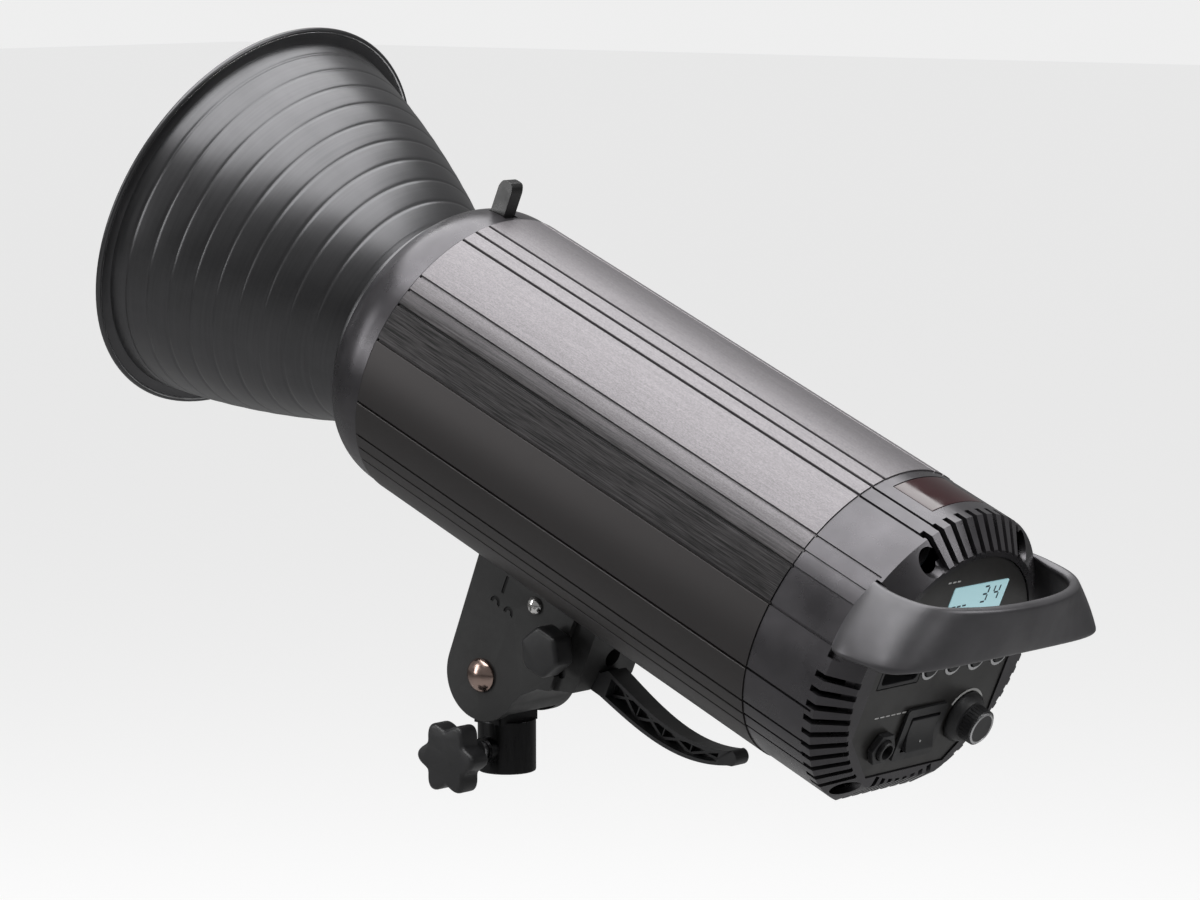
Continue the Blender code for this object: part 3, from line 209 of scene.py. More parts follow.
def bare_object(name, shape, place):
    bmesh.ops.recalc_face_normals(shape, faces=shape.faces)
    mesh = bpy.data.meshes.new(name)
    shape.to_mesh(mesh)
    shape.free()
    mesh.transform(Matrix.Scale(TO_METRES, 4))
    made = bpy.data.objects.new(name, mesh)
    bpy.context.scene.collection.objects.link(made)
    made.matrix_world = place
    return made


def settle(piece):
    """Applies the piece's modifiers."""
    bpy.context.view_layer.update()
    evaluated = piece.evaluated_get(bpy.context.evaluated_depsgraph_get())
    mesh = bpy.data.meshes.new_from_object(evaluated)
    piece.modifiers.clear()
    piece.data = mesh


def make(name, shape, look, body, replaced=(), place=HEAD, joins=(), cuts=(), bevel=0.0, smooth=35):
    """A piece drawn in millimetres: joined and cut, its edges bevelled, painted and riding on its body."""
    piece = bare_object(name, shape, place)
    for operation, tools in (("UNION", joins), ("DIFFERENCE", cuts)):
        for tool_shape in tools:
            tool = bare_object("tool", tool_shape, place)
            modifier = piece.modifiers.new("boolean", "BOOLEAN")
            modifier.operation = operation
            modifier.solver = "EXACT"
            modifier.object = tool
            settle(piece)
            bpy.data.objects.remove(tool, do_unlink=True)
    if bevel:
        modifier = piece.modifiers.new("edges", "BEVEL")
        modifier.width = bevel * TO_METRES
        modifier.segments = 2
        modifier.limit_method = "ANGLE"
        modifier.angle_limit = radians(32)
        settle(piece)
    piece.data.shade_smooth()
    piece.data.set_sharp_from_angle(angle=radians(smooth))
    if bevel:
        piece.modifiers.new("even_shading", "WEIGHTED_NORMAL").keep_sharp = True
        settle(piece)
    piece.data.materials.clear()
    piece.data.materials.append(look)
    if replaced:
        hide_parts(*replaced)
    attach(piece, body)
    return piece


# ---------------------------------------------------------------- materials

class Nodes:
    """A Principled material being put together."""

    def __init__(self, name, colour, roughness, metallic=0.0):
        self.material = bpy.data.materials.new(name)
        self.material.use_nodes = True
        self.tree = self.material.node_tree
        self.shader = self.tree.nodes["Principled BSDF"]
        self.set("Base Color", (*colour, 1.0))
        self.set("Roughness", roughness)
        self.set("Metallic", metallic)
        self.place = self.tree.nodes.new("ShaderNodeTexCoord").outputs["Object"]

    def set(self, socket, value):
        self.shader.inputs[socket].default_value = value

    def link(self, output, socket):
        self.tree.links.new(output, self.shader.inputs[socket])

    def put(self, target, value):
        if isinstance(value, bpy.types.NodeSocket):
            self.tree.links.new(value, target)
        else:
            target.default_value = value

    def noise(self, scale, stretch=(1, 1, 1), detail=4.0, rough=0.55):
        """Noise from 0 to 1. Scale is in cells a metre, and stretch multiplies it along each axis."""
        mapping = self.tree.nodes.new("ShaderNodeMapping")
        mapping.inputs["Scale"].default_value = stretch
        self.tree.links.new(self.place, mapping.inputs["Vector"])
        noise = self.tree.nodes.new("ShaderNodeTexNoise")
        noise.inputs["Scale"].default_value = scale
        noise.inputs["Detail"].default_value = detail
        noise.inputs["Roughness"].default_value = rough
        self.tree.links.new(mapping.outputs["Vector"], noise.inputs["Vector"])
        return noise.outputs["Fac"]

    def maths(self, operation, *values):
        node = self.tree.nodes.new("ShaderNodeMath")
        node.operation = operation
        for socket, value in zip(node.inputs, values):
            self.put(socket, value)
        return node.outputs[0]

    def spread(self, value, low, high, to_low, to_high):
        node = self.tree.nodes.new("ShaderNodeMapRange")
        for socket, given in zip(node.inputs, (value, low, high, to_low, to_high)):
            self.put(socket, given)
        return node.outputs[0]

    def blend(self, share, first, second):
        """First colour where share is 0, second where it is 1."""
        node = self.tree.nodes.new("ShaderNodeMix")
        node.data_type = "RGBA"
        self.put(node.inputs["Factor"], share)
        for socket, given in ((node.inputs[6], first), (node.inputs[7], second)):
            self.put(socket, given if isinstance(given, bpy.types.NodeSocket) else (*given, 1.0))
        return node.outputs[2]

    def bump(self, height, distance, strength=1.0, after=None):
        """A bump whose distance is in millimetres."""
        node = self.tree.nodes.new("ShaderNodeBump")
        node.inputs["Strength"].default_value = strength
        node.inputs["Distance"].default_value = distance * TO_METRES
        self.tree.links.new(height, node.inputs["Height"])
        if after is not None:
            self.tree.links.new(after, node.inputs["Normal"])
        return node.outputs["Normal"]


def scaled(colour, factor):
    return tuple(min(1.0, c * factor) for c in colour)


def moulded(name, colour, roughness, grain=2600, depth=0.02, wear=0.35, flake=0.0):
    """Moulded plastic or paint: fine grain, faint clouds, slightly rubbed edges, and metal flake in some."""
    made = Nodes(name, colour, roughness, flake)
    cloud = made.spread(made.noise(35, detail=3), 0.35, 0.65, 0.0, 1.0)
    body = made.blend(cloud, scaled(colour, 0.86), scaled(colour, 1.14))
    edge = made.tree.nodes.new("ShaderNodeNewGeometry").outputs["Pointiness"]
    rubbed = made.maths("MULTIPLY", made.spread(edge, 0.53, 0.62, 0.0, wear), made.noise(300))
    made.link(made.blend(rubbed, body, scaled(colour, 3.0)), "Base Color")
    made.link(made.spread(made.noise(90), 0.3, 0.7, roughness - 0.05, roughness + 0.06), "Roughness")
    made.link(made.bump(made.noise(grain, detail=2), depth, 0.6), "Normal")
    return made.material


def metal(name, colour, roughness, stretch=(1, 1, 1), scale=900, depth=0.004, spread=0.08):
    """Machined or polished metal with a directional grain."""
    made = Nodes(name, colour, roughness, 1.0)
    grain = made.noise(scale, stretch, 3)
    made.link(made.blend(grain, scaled(colour, 0.85), scaled(colour, 1.1)), "Base Color")
    made.link(made.spread(grain, 0.3, 0.7, max(0.03, roughness - spread), roughness + spread), "Roughness")
    made.link(made.bump(grain, depth, 0.5), "Normal")
    return made.material


def tube_finish():
    """Anodised tube: satin below, then a dark streaked band that fades into a paler, finely grained top. The
    paler top is painted highlight laid over the fine grain, and it dims again above the last groove.
    """
    made = Nodes("tube_anodised", (0.04, 0.037, 0.04), 0.46, 0.55)
    split = made.tree.nodes.new("ShaderNodeSeparateXYZ")
    made.tree.links.new(made.place, split.inputs[0])
    rise = made.maths("ARCTAN2", split.outputs[2], made.maths("ABSOLUTE", split.outputs[1]))
    height = made.maths("MULTIPLY", rise, 180 / pi)
    on_band = made.maths("GREATER_THAN", height, GROOVE_ANGLES[0])
    # Between these grooves the dark band fades into the pale top, which is painted highlight.
    fading = made.spread(height, GROOVE_ANGLES[1], GROOVE_ANGLES[3], 1.0, 0.35)
    # Above the last groove the colour is pulled 40 % back towards the dark streaks, so the painted highlight
    # dims towards the very top.
    crown = made.maths("GREATER_THAN", height, GROOVE_ANGLES[6])
    hair = made.noise(2600, (0.02, 1, 1), 3, 0.6)
    strand = made.noise(1300, (0.04, 1, 1), 5, 0.7)
    streaks = made.spread(made.maths("ADD", hair, strand), 0.84, 1.24, 0.0, 1.0)
    satin = made.blend(made.noise(14), (0.040, 0.037, 0.037), (0.050, 0.046, 0.046))
    dark = made.blend(streaks, (0.005, 0.005, 0.005), (0.060, 0.056, 0.058))
    sparkle = made.spread(made.noise(2800, (0.35, 1, 1), 3, 0.7), 0.35, 0.65, 0.0, 1.0)
    grain = made.maths("ADD", made.maths("MULTIPLY", sparkle, 0.88), made.maths("MULTIPLY", streaks, 0.12))
    # Pale top colour: fine grain with painted highlight, several times lighter than the satin sides.
    pale = made.blend(grain, (0.165, 0.155, 0.163), (0.27, 0.255, 0.268))
    upper = made.blend(made.maths("MAXIMUM", fading, made.maths("MULTIPLY", crown, 0.4)), pale, dark)
    made.link(made.blend(on_band, satin, upper), "Base Color")
    made.link(made.spread(sparkle, 0.0, 1.0, 0.48, 0.43), "Roughness")
    made.link(made.bump(made.maths("MULTIPLY", on_band, sparkle), 0.008, 0.4), "Normal")
    return made.material


def reflector_finish():
    """Satin charcoal outside and dimpled silver inside, told apart by which way the wall faces."""
    made = Nodes("reflector_metal", (0.15, 0.15, 0.155), 0.34, 0.9)
    split = made.tree.nodes.new("ShaderNodeSeparateXYZ")
    made.tree.links.new(made.place, split.inputs[0])
    radius = made.maths("SQRT", made.maths("ADD", made.maths("MULTIPLY", split.outputs[1], split.outputs[1]),
                                           made.maths("MULTIPLY", split.outputs[2], split.outputs[2])))
    facing = made.tree.nodes.new("ShaderNodeTexCoord").outputs["Normal"]
    normal = made.tree.nodes.new("ShaderNodeSeparateXYZ")
    made.tree.links.new(facing, normal.inputs[0])
    outward = made.maths("ADD", made.maths("MULTIPLY", normal.outputs[1], split.outputs[1]),
                         made.maths("MULTIPLY", normal.outputs[2], split.outputs[2]))
    inward = made.maths("LESS_THAN", made.maths("DIVIDE", outward, radius), -0.2)
    patches = made.noise(60, (0.5, 1, 1), 3)
    ring_marks = made.noise(900, (1, 0.02, 0.02), 3)
    outer = made.blend(patches, (0.058, 0.058, 0.060), (0.090, 0.089, 0.093))
    outer = made.blend(made.maths("MULTIPLY", ring_marks, 0.35), outer, (0.140, 0.140, 0.144))
    made.link(made.blend(inward, outer, (0.78, 0.78, 0.79)), "Base Color")
    made.link(made.maths("ADD", 0.34, made.maths("MULTIPLY", inward, -0.09)), "Roughness")
    made.link(made.maths("ADD", 0.9, made.maths("MULTIPLY", inward, 0.1)), "Metallic")
    cells = made.tree.nodes.new("ShaderNodeTexVoronoi")
    cells.inputs["Scale"].default_value = 260
    made.tree.links.new(made.place, cells.inputs["Vector"])
    dimples = made.maths("MULTIPLY", cells.outputs["Distance"], inward)
    relief = made.maths("ADD", dimples, made.maths("MULTIPLY", ring_marks, 0.04))
    made.link(made.bump(relief, 0.5, 0.5), "Normal")
    return made.material


def glassy(name, colour, roughness=0.03):
    made = Nodes(name, colour, roughness)
    made.set("Transmission Weight", 0.92)
    made.set("IOR", 1.48)
    made.link(made.spread(made.noise(120), 0.3, 0.7, roughness, roughness + 0.04), "Roughness")
    return made.material


def screen_finish():
    """Pale display with a faint backlight gradient."""
    made = Nodes("display_face", (0.55, 0.78, 0.82), 0.25)
    made.link(made.blend(made.noise(25, detail=1), (0.50, 0.76, 0.81), (0.60, 0.82, 0.85)), "Base Color")
    made.set("Emission Color", (0.45, 0.80, 0.88, 1.0))
    made.set("Emission Strength", 0.28)
    return made.material


BLACK_PLASTIC = moulded("black_plastic", (0.017, 0.017, 0.018), 0.42)
GLOSS_BLACK = moulded("gloss_black", (0.013, 0.013, 0.013), 0.26, 1500, 0.008)
BRACKET_BLACK = moulded("bracket_black", (0.020, 0.020, 0.020), 0.50, 1800, 0.03)
HOUSING_GREY = moulded("housing_grey", (0.072, 0.069, 0.074), 0.29, 3200, 0.012, 0.0, 0.75)
HANDLE_GREY = moulded("handle_grey", (0.085, 0.083, 0.088), 0.38, 3200, 0.012, 0.1, 0.6)
PANEL_BLACK = moulded("panel_black", (0.022, 0.021, 0.020), 0.34, 3000, 0.01, 0.1)
SOCKET_BLACK = metal("socket_black", (0.035, 0.035, 0.036), 0.34, (1, 1, 0.1), 900, 0.004)
TUBE = tube_finish()
REFLECTOR = reflector_finish()
CHROME = metal("chrome", (0.78, 0.77, 0.76), 0.12, scale=300)
WARM_CHROME = metal("warm_chrome", (0.42, 0.31, 0.27), 0.20, scale=260, depth=0.02)
STEEL = metal("bare_steel", (0.55, 0.55, 0.56), 0.30, (1, 8, 8))
ALUMINIUM = metal("bare_aluminium", (0.70, 0.70, 0.71), 0.36, (8, 1, 1))
BRASS = metal("brass", (0.72, 0.53, 0.22), 0.28)
CERAMIC = moulded("white_ceramic", (0.80, 0.79, 0.75), 0.45, 1500, 0.02, 0.0)
GLASS = glassy("clear_glass", (0.96, 0.97, 0.97))
SENSOR_RED = moulded("sensor_red", (0.020, 0.004, 0.005), 0.10, 200, 0.004, 0.0)
SCREEN = screen_finish()
PRINT_WHITE = moulded("print_white", (0.62, 0.62, 0.61), 0.55, 2500, 0.01, 0.0)
RING_SILVER = metal("ring_silver", (0.62, 0.62, 0.63), 0.28, scale=600)
DIGIT_BLACK = moulded("digit_black", (0.03, 0.05, 0.07), 0.4, 900, 0.01, 0.0)
BOARD_GREEN = moulded("board_green", (0.02, 0.12, 0.05), 0.4, 900, 0.02, 0.1)
CAN_BLUE = moulded("can_blue", (0.03, 0.06, 0.18), 0.3, 700, 0.01, 0.1)
PALE_WASHER = moulded("pale_washer", (0.55, 0.56, 0.58), 0.5)
# Near-black for the floor of sunk marks: painted shade in the recesses.
PAINTED_RECESS_SHADE = moulded("painted_recess_shade", (0.006, 0.006, 0.006), 0.7, 900, 0.01, 0.0)


# ---------------------------------------------------------------- reflector and front

BOWL_OUTSIDE, BOWL_INSIDE = 85.8, 84.6


def bell(mouth, behind):
    """Radius of the bell's curve that has the radius mouth at the mouth."""
    return mouth - 0.205 * behind - 0.00141 * behind * behind


def bowl_radius(behind):
    """Outer radius of the bowl: shallow bands with a narrow crease between them, as spinning leaves it."""
    band, crease_width, crease_depth, bulge = 10.6, 0.9, 0.30, 0.16
    index = behind // band
    share = behind / band - index
    start, end = bell(BOWL_OUTSIDE, index * band), bell(BOWL_OUTSIDE, (index + 1) * band)
    flat = start * (1 - share) + end * share
    crease = max(0.0, 1 - min(share, 1 - share) * band / crease_width)
    return flat + bulge * sin(pi * share) - crease_depth * crease


def reflector():
    outside = [(-x, bowl_radius(x)) for x in [2.6 + 0.53 * i for i in range(195)]]
    inside = [(-x, bell(BOWL_INSIDE, x)) for x in [1.2 + 3.5 * i for i in range(31)]]
    rolled = arc(1.3, -60, 240, 20, (-1.6, 90.4))
    neck = [(-107.5, 47.6), (-111, 45.0), (-112.5, 44.2), (-120, 44.2), (-120, 43.0), (-112, 43.0),
            (-107, 46.0)]
    profile = rolled + [(-2.5, 87.0)] + outside[1:] + neck + inside[::-1]
    make("reflector_bowl", turned(profile), REFLECTOR, "reflector", ["reflector_shell"], smooth=50)
    collar = [(-110.5, 52.2), (-110.9, 52.8), (-111.3, 53.0), (-113.2, 53.0), (-113.5, 52.7), (-113.5, 46.3),
              (-123.3, 46.3), (-123.3, 44.5), (-112.3, 44.5), (-110.5, 46.8)]
    lugs = bmesh.new()
    for middle in (90, 210, 330):
        outline = arc(49.5, middle - 11, middle + 11, 12) + arc(45.6, middle + 11, middle - 11, 12)
        slab(outline, -123.3, -121.5, into=lugs)
    make("bayonet_collar", turned(collar), REFLECTOR, "reflector", ["reflector_collar"], joins=[lugs],
         smooth=40)


def shoulder(radius, reach, depth, last, steps):
    """The housing's rounded front edge, as part of an ellipse up to the angle last."""
    angles = [radians(last * i / steps) for i in range(steps + 1)]
    return [(-134 + reach * sin(a), radius - depth * (1 - cos(a))) for a in angles]


def front_housing():
    profile = [(-139.2, COVER_RADIUS - 0.3), (-138.9, COVER_RADIUS)] + shoulder(COVER_RADIUS, 20, 14, 76, 18)
    profile += [(-114.3, 54.4), (-114, 54.1), (-114, 50.8), (-117, 50.8)]
    profile += shoulder(59.6, 17, 10, 66, 8)[::-1]
    profile += [(-136, 59.6), (-136, 56), (-139, 56), (-141, 59.2), (-148, 59.2), (-148, 62.2)]
    profile += [(-139.2, 62.2)]
    ears, notches = bmesh.new(), bmesh.new()
    for side in (1, -1):
        slab(rectangle(2.6, 8, (side * 5.9, 56.5)), -133.5, -128.5, into=ears)
    for middle in (63, 183, 303):
        with turned_into(notches, radians(middle)) as notch:
            slab(rectangle(14, 7, (57, 0)), -117.5, -112, into=notch)
    slot = slab(rectangle(8, 30, (0, 67)), -136.8, -126.7)
    channels = bmesh.new()
    for place in TIE_SCREWS:
        rod(4.3, -150, -138.9, "X", place, 24, channels)
    make("front_nose", turned(profile), HOUSING_GREY, "head", ["front_housing"], joins=[ears],
         cuts=[slot, rod(1.5, -12, 12, "Y", LATCH_AXIS), notches, channels], bevel=0.25)


def latch():
    front, back, base, top = -127.3, -135.2, 52.6, 80.0
    tab = [(front, base), (front, top - 3), (-129, top), (-134, top), (back, top - 3), (back, base)]
    plate = slab(rounded(tab, 2.2), -3.5, 3.5, "Y")
    arm = [(-128.1, 50.0), (-122.7, 50.0), (-122.7, 55.0), (-128.1, 55.0)]
    make("latch_tab", plate, GLOSS_BLACK, "release_lever", ["release_lever"],
         joins=[slab(arm, -2.5, 2.5, "Y")], cuts=[rod(1.5, -10, 10, "Y", LATCH_AXIS)], bevel=0.7)


def lamps():
    globe = arc(22, 6, 141, 27, (-78, 0))
    bulb = [(-56, 0)] + globe + [(-101, 14.5), (-104, 13.0), (-107.7, 12.6), (-107.7, 0)]
    make("modelling_bulb", turned(bulb, MIDDLING), GLASS, "head", ["modelling_lamp"], smooth=60)
    thread = [(-127 + 0.25 * i, 12.7 + 0.3 * cos(TURN * i / 14)) for i in range(77)]
    cap = [(-129.6, 0), (-129.6, 5)] + thread + [(-107.95, 12.4), (-107.95, 0)]
    make("bulb_cap", turned(cap, MIDDLING), BRASS, "head", ["lamp_cap"], smooth=60)
    reach, legs = 28, 8
    depth = -sqrt(reach * reach - legs * legs)
    ring = [(-116, y, z) for y, z in arc(reach, -60, 240, 50)]
    first = [(-138, legs, depth - 0.6), (-123, legs, depth - 0.6), (-119, legs + 0.4, depth - 0.4),
             (-117, legs + 1.6, depth)]
    last = [(x, -y, z) for x, y, z in reversed(first)]
    make("flash_ring", swept(first + ring + last, 4.0, 20), GLASS, "head", ["flash_tube"], smooth=60)
    edge = arc(55.2, 99, 441, 90)
    disc = edge + [(edge[-1][0], 51.5), (edge[0][0], 51.5)]
    holes = [circle(6, 32)] + [circle(4.6, 32, (side * 8, -27.4)) for side in (1, -1)]
    make("ceramic_base", slab(disc, -135.7, -132.7, "X", holes), CERAMIC, "head", ["lamp_base"], bevel=0.4)


# ---------------------------------------------------------------- tube

def tube_outline(step=1.5):
    """The tube's outside, with a softened groove at each of the groove angles."""
    lip = 0.66
    groove_shape = ((-lip, TUBE_RADIUS), (-0.52, 65.8), (-0.44, 64.7), (0.44, 64.7), (0.52, 65.8),
                    (lip, TUBE_RADIUS))
    points = []
    for index, groove in enumerate(GROOVES):
        for offset, radius in groove_shape:
            angle = radians(groove + offset)
            points.append((radius * cos(angle), radius * sin(angle)))
        following = GROOVES[(index + 1) % len(GROOVES)] + (360 if index == len(GROOVES) - 1 else 0)
        start, end = groove + lip, following - lip
        points += arc(TUBE_RADIUS, start, end, max(2, round((end - start) / step)))[1:-1]
    return points


def tube():
    wall = slab(tube_outline(), -TUBE_BACK, -TUBE_FRONT, "X", [circle(62.5, FINE)])
    make("strobe_tube", wall, TUBE, "head", ["body_tube"], smooth=22)


# ---------------------------------------------------------------- rear cover, handle and panel

def panel_outline(grow=0.0):
    """The control panel: a disc cut straight at the bottom and the sides."""
    radius, half, bottom = 51.3 + grow, 45.2 + grow, -44.5 - grow
    side_up, low_half = sqrt(radius ** 2 - half ** 2), sqrt(radius ** 2 - bottom ** 2)
    top = acos(half / radius)
    curve = [(radius * cos(a), radius * sin(a)) for a in [top + (pi - 2 * top) * i / 64 for i in range(65)]]
    return curve + [(-half, -side_up), (-low_half, bottom), (low_half, bottom), (half, -side_up)]


def vents():
    """Cutters for the four groups of cooling slots round the back edge."""
    made = bmesh.new()
    for middle, count, inward in ((90, 10, 0), (270, 8, 5.1), (205, 10, 0), (335, 10, 0)):
        profile = [(-412, 53.6 - inward), (-412, 72), (-396, 72), (-396, 60.8 - inward),
                   (-400.3, 60.8 - inward), (-407.1, 53.6 - inward)]
        for index in range(count):
            angle = radians(middle + (index - (count - 1) / 2) * 5.85)
            with turned_into(made, angle - pi / 2) as slot:
                slab(profile, -1.35, 1.35, "Y", into=slot)
    return made


def sensor_block(grow, low, high):
    """A curved block between two radii at the top of the cover, larger all round by grow."""
    reach = 14.8 + grow * 0.9
    outline = arc(high, 90 - reach, 90 + reach, 20) + arc(low, 90 + reach, 90 - reach, 20)
    return slab(outline, -390 - grow, -369.6 + grow)


def cover_grooves():
    made = bmesh.new()
    for angle in GROOVES:
        if 90 - 17 < angle < 90 + 17:
            continue
        with turned_into(made, radians(angle) - pi / 2) as groove:
            slab(rectangle(1.2, 4, (0, 66.4)), -399, -360, into=groove)
    return made


def rear_cover():
    profile = [(-364.8, 62.2), (-356, 62.2), (-356, 59.6), (-366, 59.6), (-369, 62.6), (-399.5, 62.6),
               (-406.4, 54), (-406.4, 36), (-BACK_FACE, 36), (-BACK_FACE, BACK_FACE_RADIUS),
               (-CHAMFER_START, COVER_RADIUS), (-364.8, COVER_RADIUS)]
    floor = []
    stations = ((-374, 64, 62.5), (-386, 64, 57.5), (-400, 64, 57.5), (-406.2, 57, 50.1), (-408, 55, 50.1))
    for x, radius, below in stations:
        half = degrees(acos(below / radius))
        floor.append([(x, y, z) for y, z in arc(radius, 270 - half, 270 + half, 24)])
    foot = slab([(-376, -66), (-388, -60.4), (-400.6, -60.4), (-412, -47.2), (-412, -80), (-376, -80)],
                -34, 34, "Y")
    pillars, bores, wells = bmesh.new(), bmesh.new(), bmesh.new()
    for place in TIE_SCREWS:
        rod(5.9, -400, -366.2, "X", place, 24, pillars)
        rod(1.9, -390, -360, "X", place, 20, bores)
        rod(5.0, -420, -388, "X", place, 40, wells)
    pockets = bmesh.new()
    for middle in (24, 156):
        outline = arc(75, middle - 15.5, middle + 15.5, 12) + arc(63.2, middle + 15.5, middle - 15.5, 12)
        slab(outline, -412, -397.9, into=pockets)
    cuts = [foot, wells, bores, slab(panel_outline(GAP), -420, -404), vents(), pockets,
            sensor_block(GAP, 58, 75), cover_grooves()]
    make("tail_cover", turned(profile), HOUSING_GREY, "head", ["rear_cover"],
         joins=[pillars, lofted(floor)], cuts=cuts)
    make("sensor_lens", sensor_block(0.0, 62.9, COVER_RADIUS), SENSOR_RED, "head", ["sensor_window"],
         bevel=0.35)
    for number, (left, up) in enumerate(TIE_SCREWS, 1):
        head = turned([(-350, 0), (-350, 1.5), (-388.3, 1.5), (-388.3, 3.6), (-390.2, 3.6), (-390.5, 3.2),
                       (-390.5, 0)], 32, centre=(left, up))
        socket = slab(circle(1.7, 6, (left, up)), -392, -389)
        make("tie_screw_%d" % number, head, STEEL, "head", ["rear_screw_%d" % number], cuts=[socket])


def handle_edge(width, depth, power, offset, low, high, steps):
    """One outer edge of the strap, from the left root round to the right: part of a superellipse."""
    root = width * (1 - (offset / depth) ** power) ** (1 / power)
    start = atan2(offset, root)
    points = []
    for index in range(steps + 1):
        angle = -start + (pi + 2 * start) * index / steps
        reach = (abs(cos(angle) / width) ** power + abs(sin(angle) / depth) ** power) ** (-1 / power)
        behind = offset + reach * sin(angle)
        rise = low + (high - low) * behind / (offset + depth)
        points.append(Vector((-HANDLE_ROOT - behind, reach * cos(angle), rise)))
    return points


def handle():
    """Wide strap that loops from one side of the cover round behind the panel to the other."""
    steps, edge = 112, 1.0
    lower = handle_edge(70.9, 22.7, 4.2, 17.0, 13.8, 23.0, steps)
    upper = handle_edge(53.8, 30.9, 2.3, 9.6, 41.4, 46.4, steps)
    rings = []
    for index, (low, high) in enumerate(zip(lower, upper)):
        before, after = max(index - 1, 0), min(index + 1, steps)
        run = lower[after] + upper[after] - lower[before] - upper[before]
        up = (high - low).normalized()
        out = run.cross(up).normalized()
        centre = (low + high) / 2
        out *= 1 if out.dot(centre - Vector((-400, 0, 30))) > 0 else -1
        half = (high - low).length / 2
        clear = min(1, (-HANDLE_ROOT - centre.x) / 12)
        thick, swell = 2.6 + 1.8 * clear, 1.75 - 0.9 * clear
        section = rounded([(half, 0), (half, -thick), (-half, -thick), (-half, 0)], edge * 2)
        face = [(half - 2 * edge) * (1 - k / 5) for k in range(1, 10)]
        middle = len(section) // 2
        back = [(a, -thick) for a in face]
        front = [(-a, 0) for a in face]
        section = section[:middle] + back + section[middle:] + front
        rings.append([centre + up * a + out * (b + swell * (1 - (a / half) ** 2)) for a, b in section])
    make("loop_handle", lofted(rings), HANDLE_GREY, "head", ["carry_handle"], smooth=50)


SEGMENTS = {"0": "abcdef", "1": "bc", "2": "abged", "3": "abgcd", "4": "fgbc", "5": "afgcd", "6": "afgedc",
            "7": "abc", "8": "abcdefg", "9": "abcdfg"}


def printed(outline, height, into):
    """Print that stands a little proud of the panel."""
    slab(outline, -PANEL_FACE - height, -PANEL_FACE - 0.02, into=into)


def digit(value, centre, height, into):
    """A seven-segment figure on the display. Left is towards +Y, so the figure reads from behind."""
    width, bar = height * 0.5, height * 0.11
    half = height / 2
    bars = {"a": (0, half, 1), "g": (0, 0, 1), "d": (0, -half, 1), "b": (-width / 2, half / 2, 0),
            "c": (-width / 2, -half / 2, 0), "f": (width / 2, half / 2, 0), "e": (width / 2, -half / 2, 0)}
    for letter in SEGMENTS[value]:
        left, up, flat = bars[letter]
        size = (width - bar * 1.3, bar) if flat else (bar, half - bar * 1.3)
        place = (centre[0] + left, centre[1] + up)
        printed(rectangle(*size, place), 0.10, into)


def panel():
    holes = [rectangle(*WINDOW_SIZE, WINDOW_CENTRE, 0.8), rectangle(*ROCKER_SIZE, ROCKER_CENTRE, 0.5),
             rectangle(*INLET_SIZE, INLET_CENTRE, 0.8), circle(4.6, 32, JACK_CENTRE),
             circle(3.6, 32, DIAL_CENTRE)]
    holes += [circle(4.2, 32, centre) for centre in BUTTONS]
    make("panel_plate", slab(panel_outline(), -PANEL_FACE, -406.8, "X", holes), PANEL_BLACK, "head",
         ["control_panel"], bevel=0.35)
    glass = rectangle(WINDOW_SIZE[0] - 0.6, WINDOW_SIZE[1] - 0.6, WINDOW_CENTRE, 0.6)
    make("display_glass", slab(glass, -PANEL_FACE, -PANEL_FACE + 1.6), SCREEN, "head", ["display_window"])
    figures = bmesh.new()
    for place, value in enumerate("34"):
        digit(value, (-10.5 - 7.5 * place, 33.6), 7.0, figures)
    for place, value in enumerate("0125"):
        digit(value, (7 - 5.6 * place, 23.6), 4.4, figures)
    for left in (8.5, 5.0, 1.5):
        printed(rectangle(2.4, 0.7, (left, 30.0)), 0.10, figures)
    make("display_figures", figures, DIGIT_BLACK, "head")
    for number, centre in enumerate(BUTTONS, 1):
        cap = [(3.6, 0), (3.6, 3.9), (-0.7, 3.9), (-1.05, 3.7), (-1.2, 3.3), (-1.0, 2.2), (-0.9, 0)]
        shape = turned([(along - PANEL_FACE, radius) for along, radius in cap], 40, centre=centre)
        make("button_cap_%d" % number, shape, BLACK_PLASTIC, "button_%d" % number, ["button_%d" % number])
        ring = slab(circle(5.6, 48, centre), -PANEL_FACE - 0.35, -PANEL_FACE - 0.02, "X",
                    [circle(4.35, 48, centre)])
        make("button_ring_%d" % number, ring, RING_SILVER, "head", bevel=0.1)
    marks = bmesh.new()
    printed(arc(12.4, 32, 148, 28, DIAL_CENTRE) + arc(11.4, 148, 32, 28, DIAL_CENTRE), 0.08, marks)
    for left in (11.5, 14.5, 17.5):
        printed(rectangle(2.0, 0.6, (left, 42.0)), 0.08, marks)
    for index in range(6):
        printed(rectangle(2.6, 0.5, (33 - 3.6 * index, -16.5)), 0.08, marks)
    make("panel_marks", marks, PRINT_WHITE, "head")


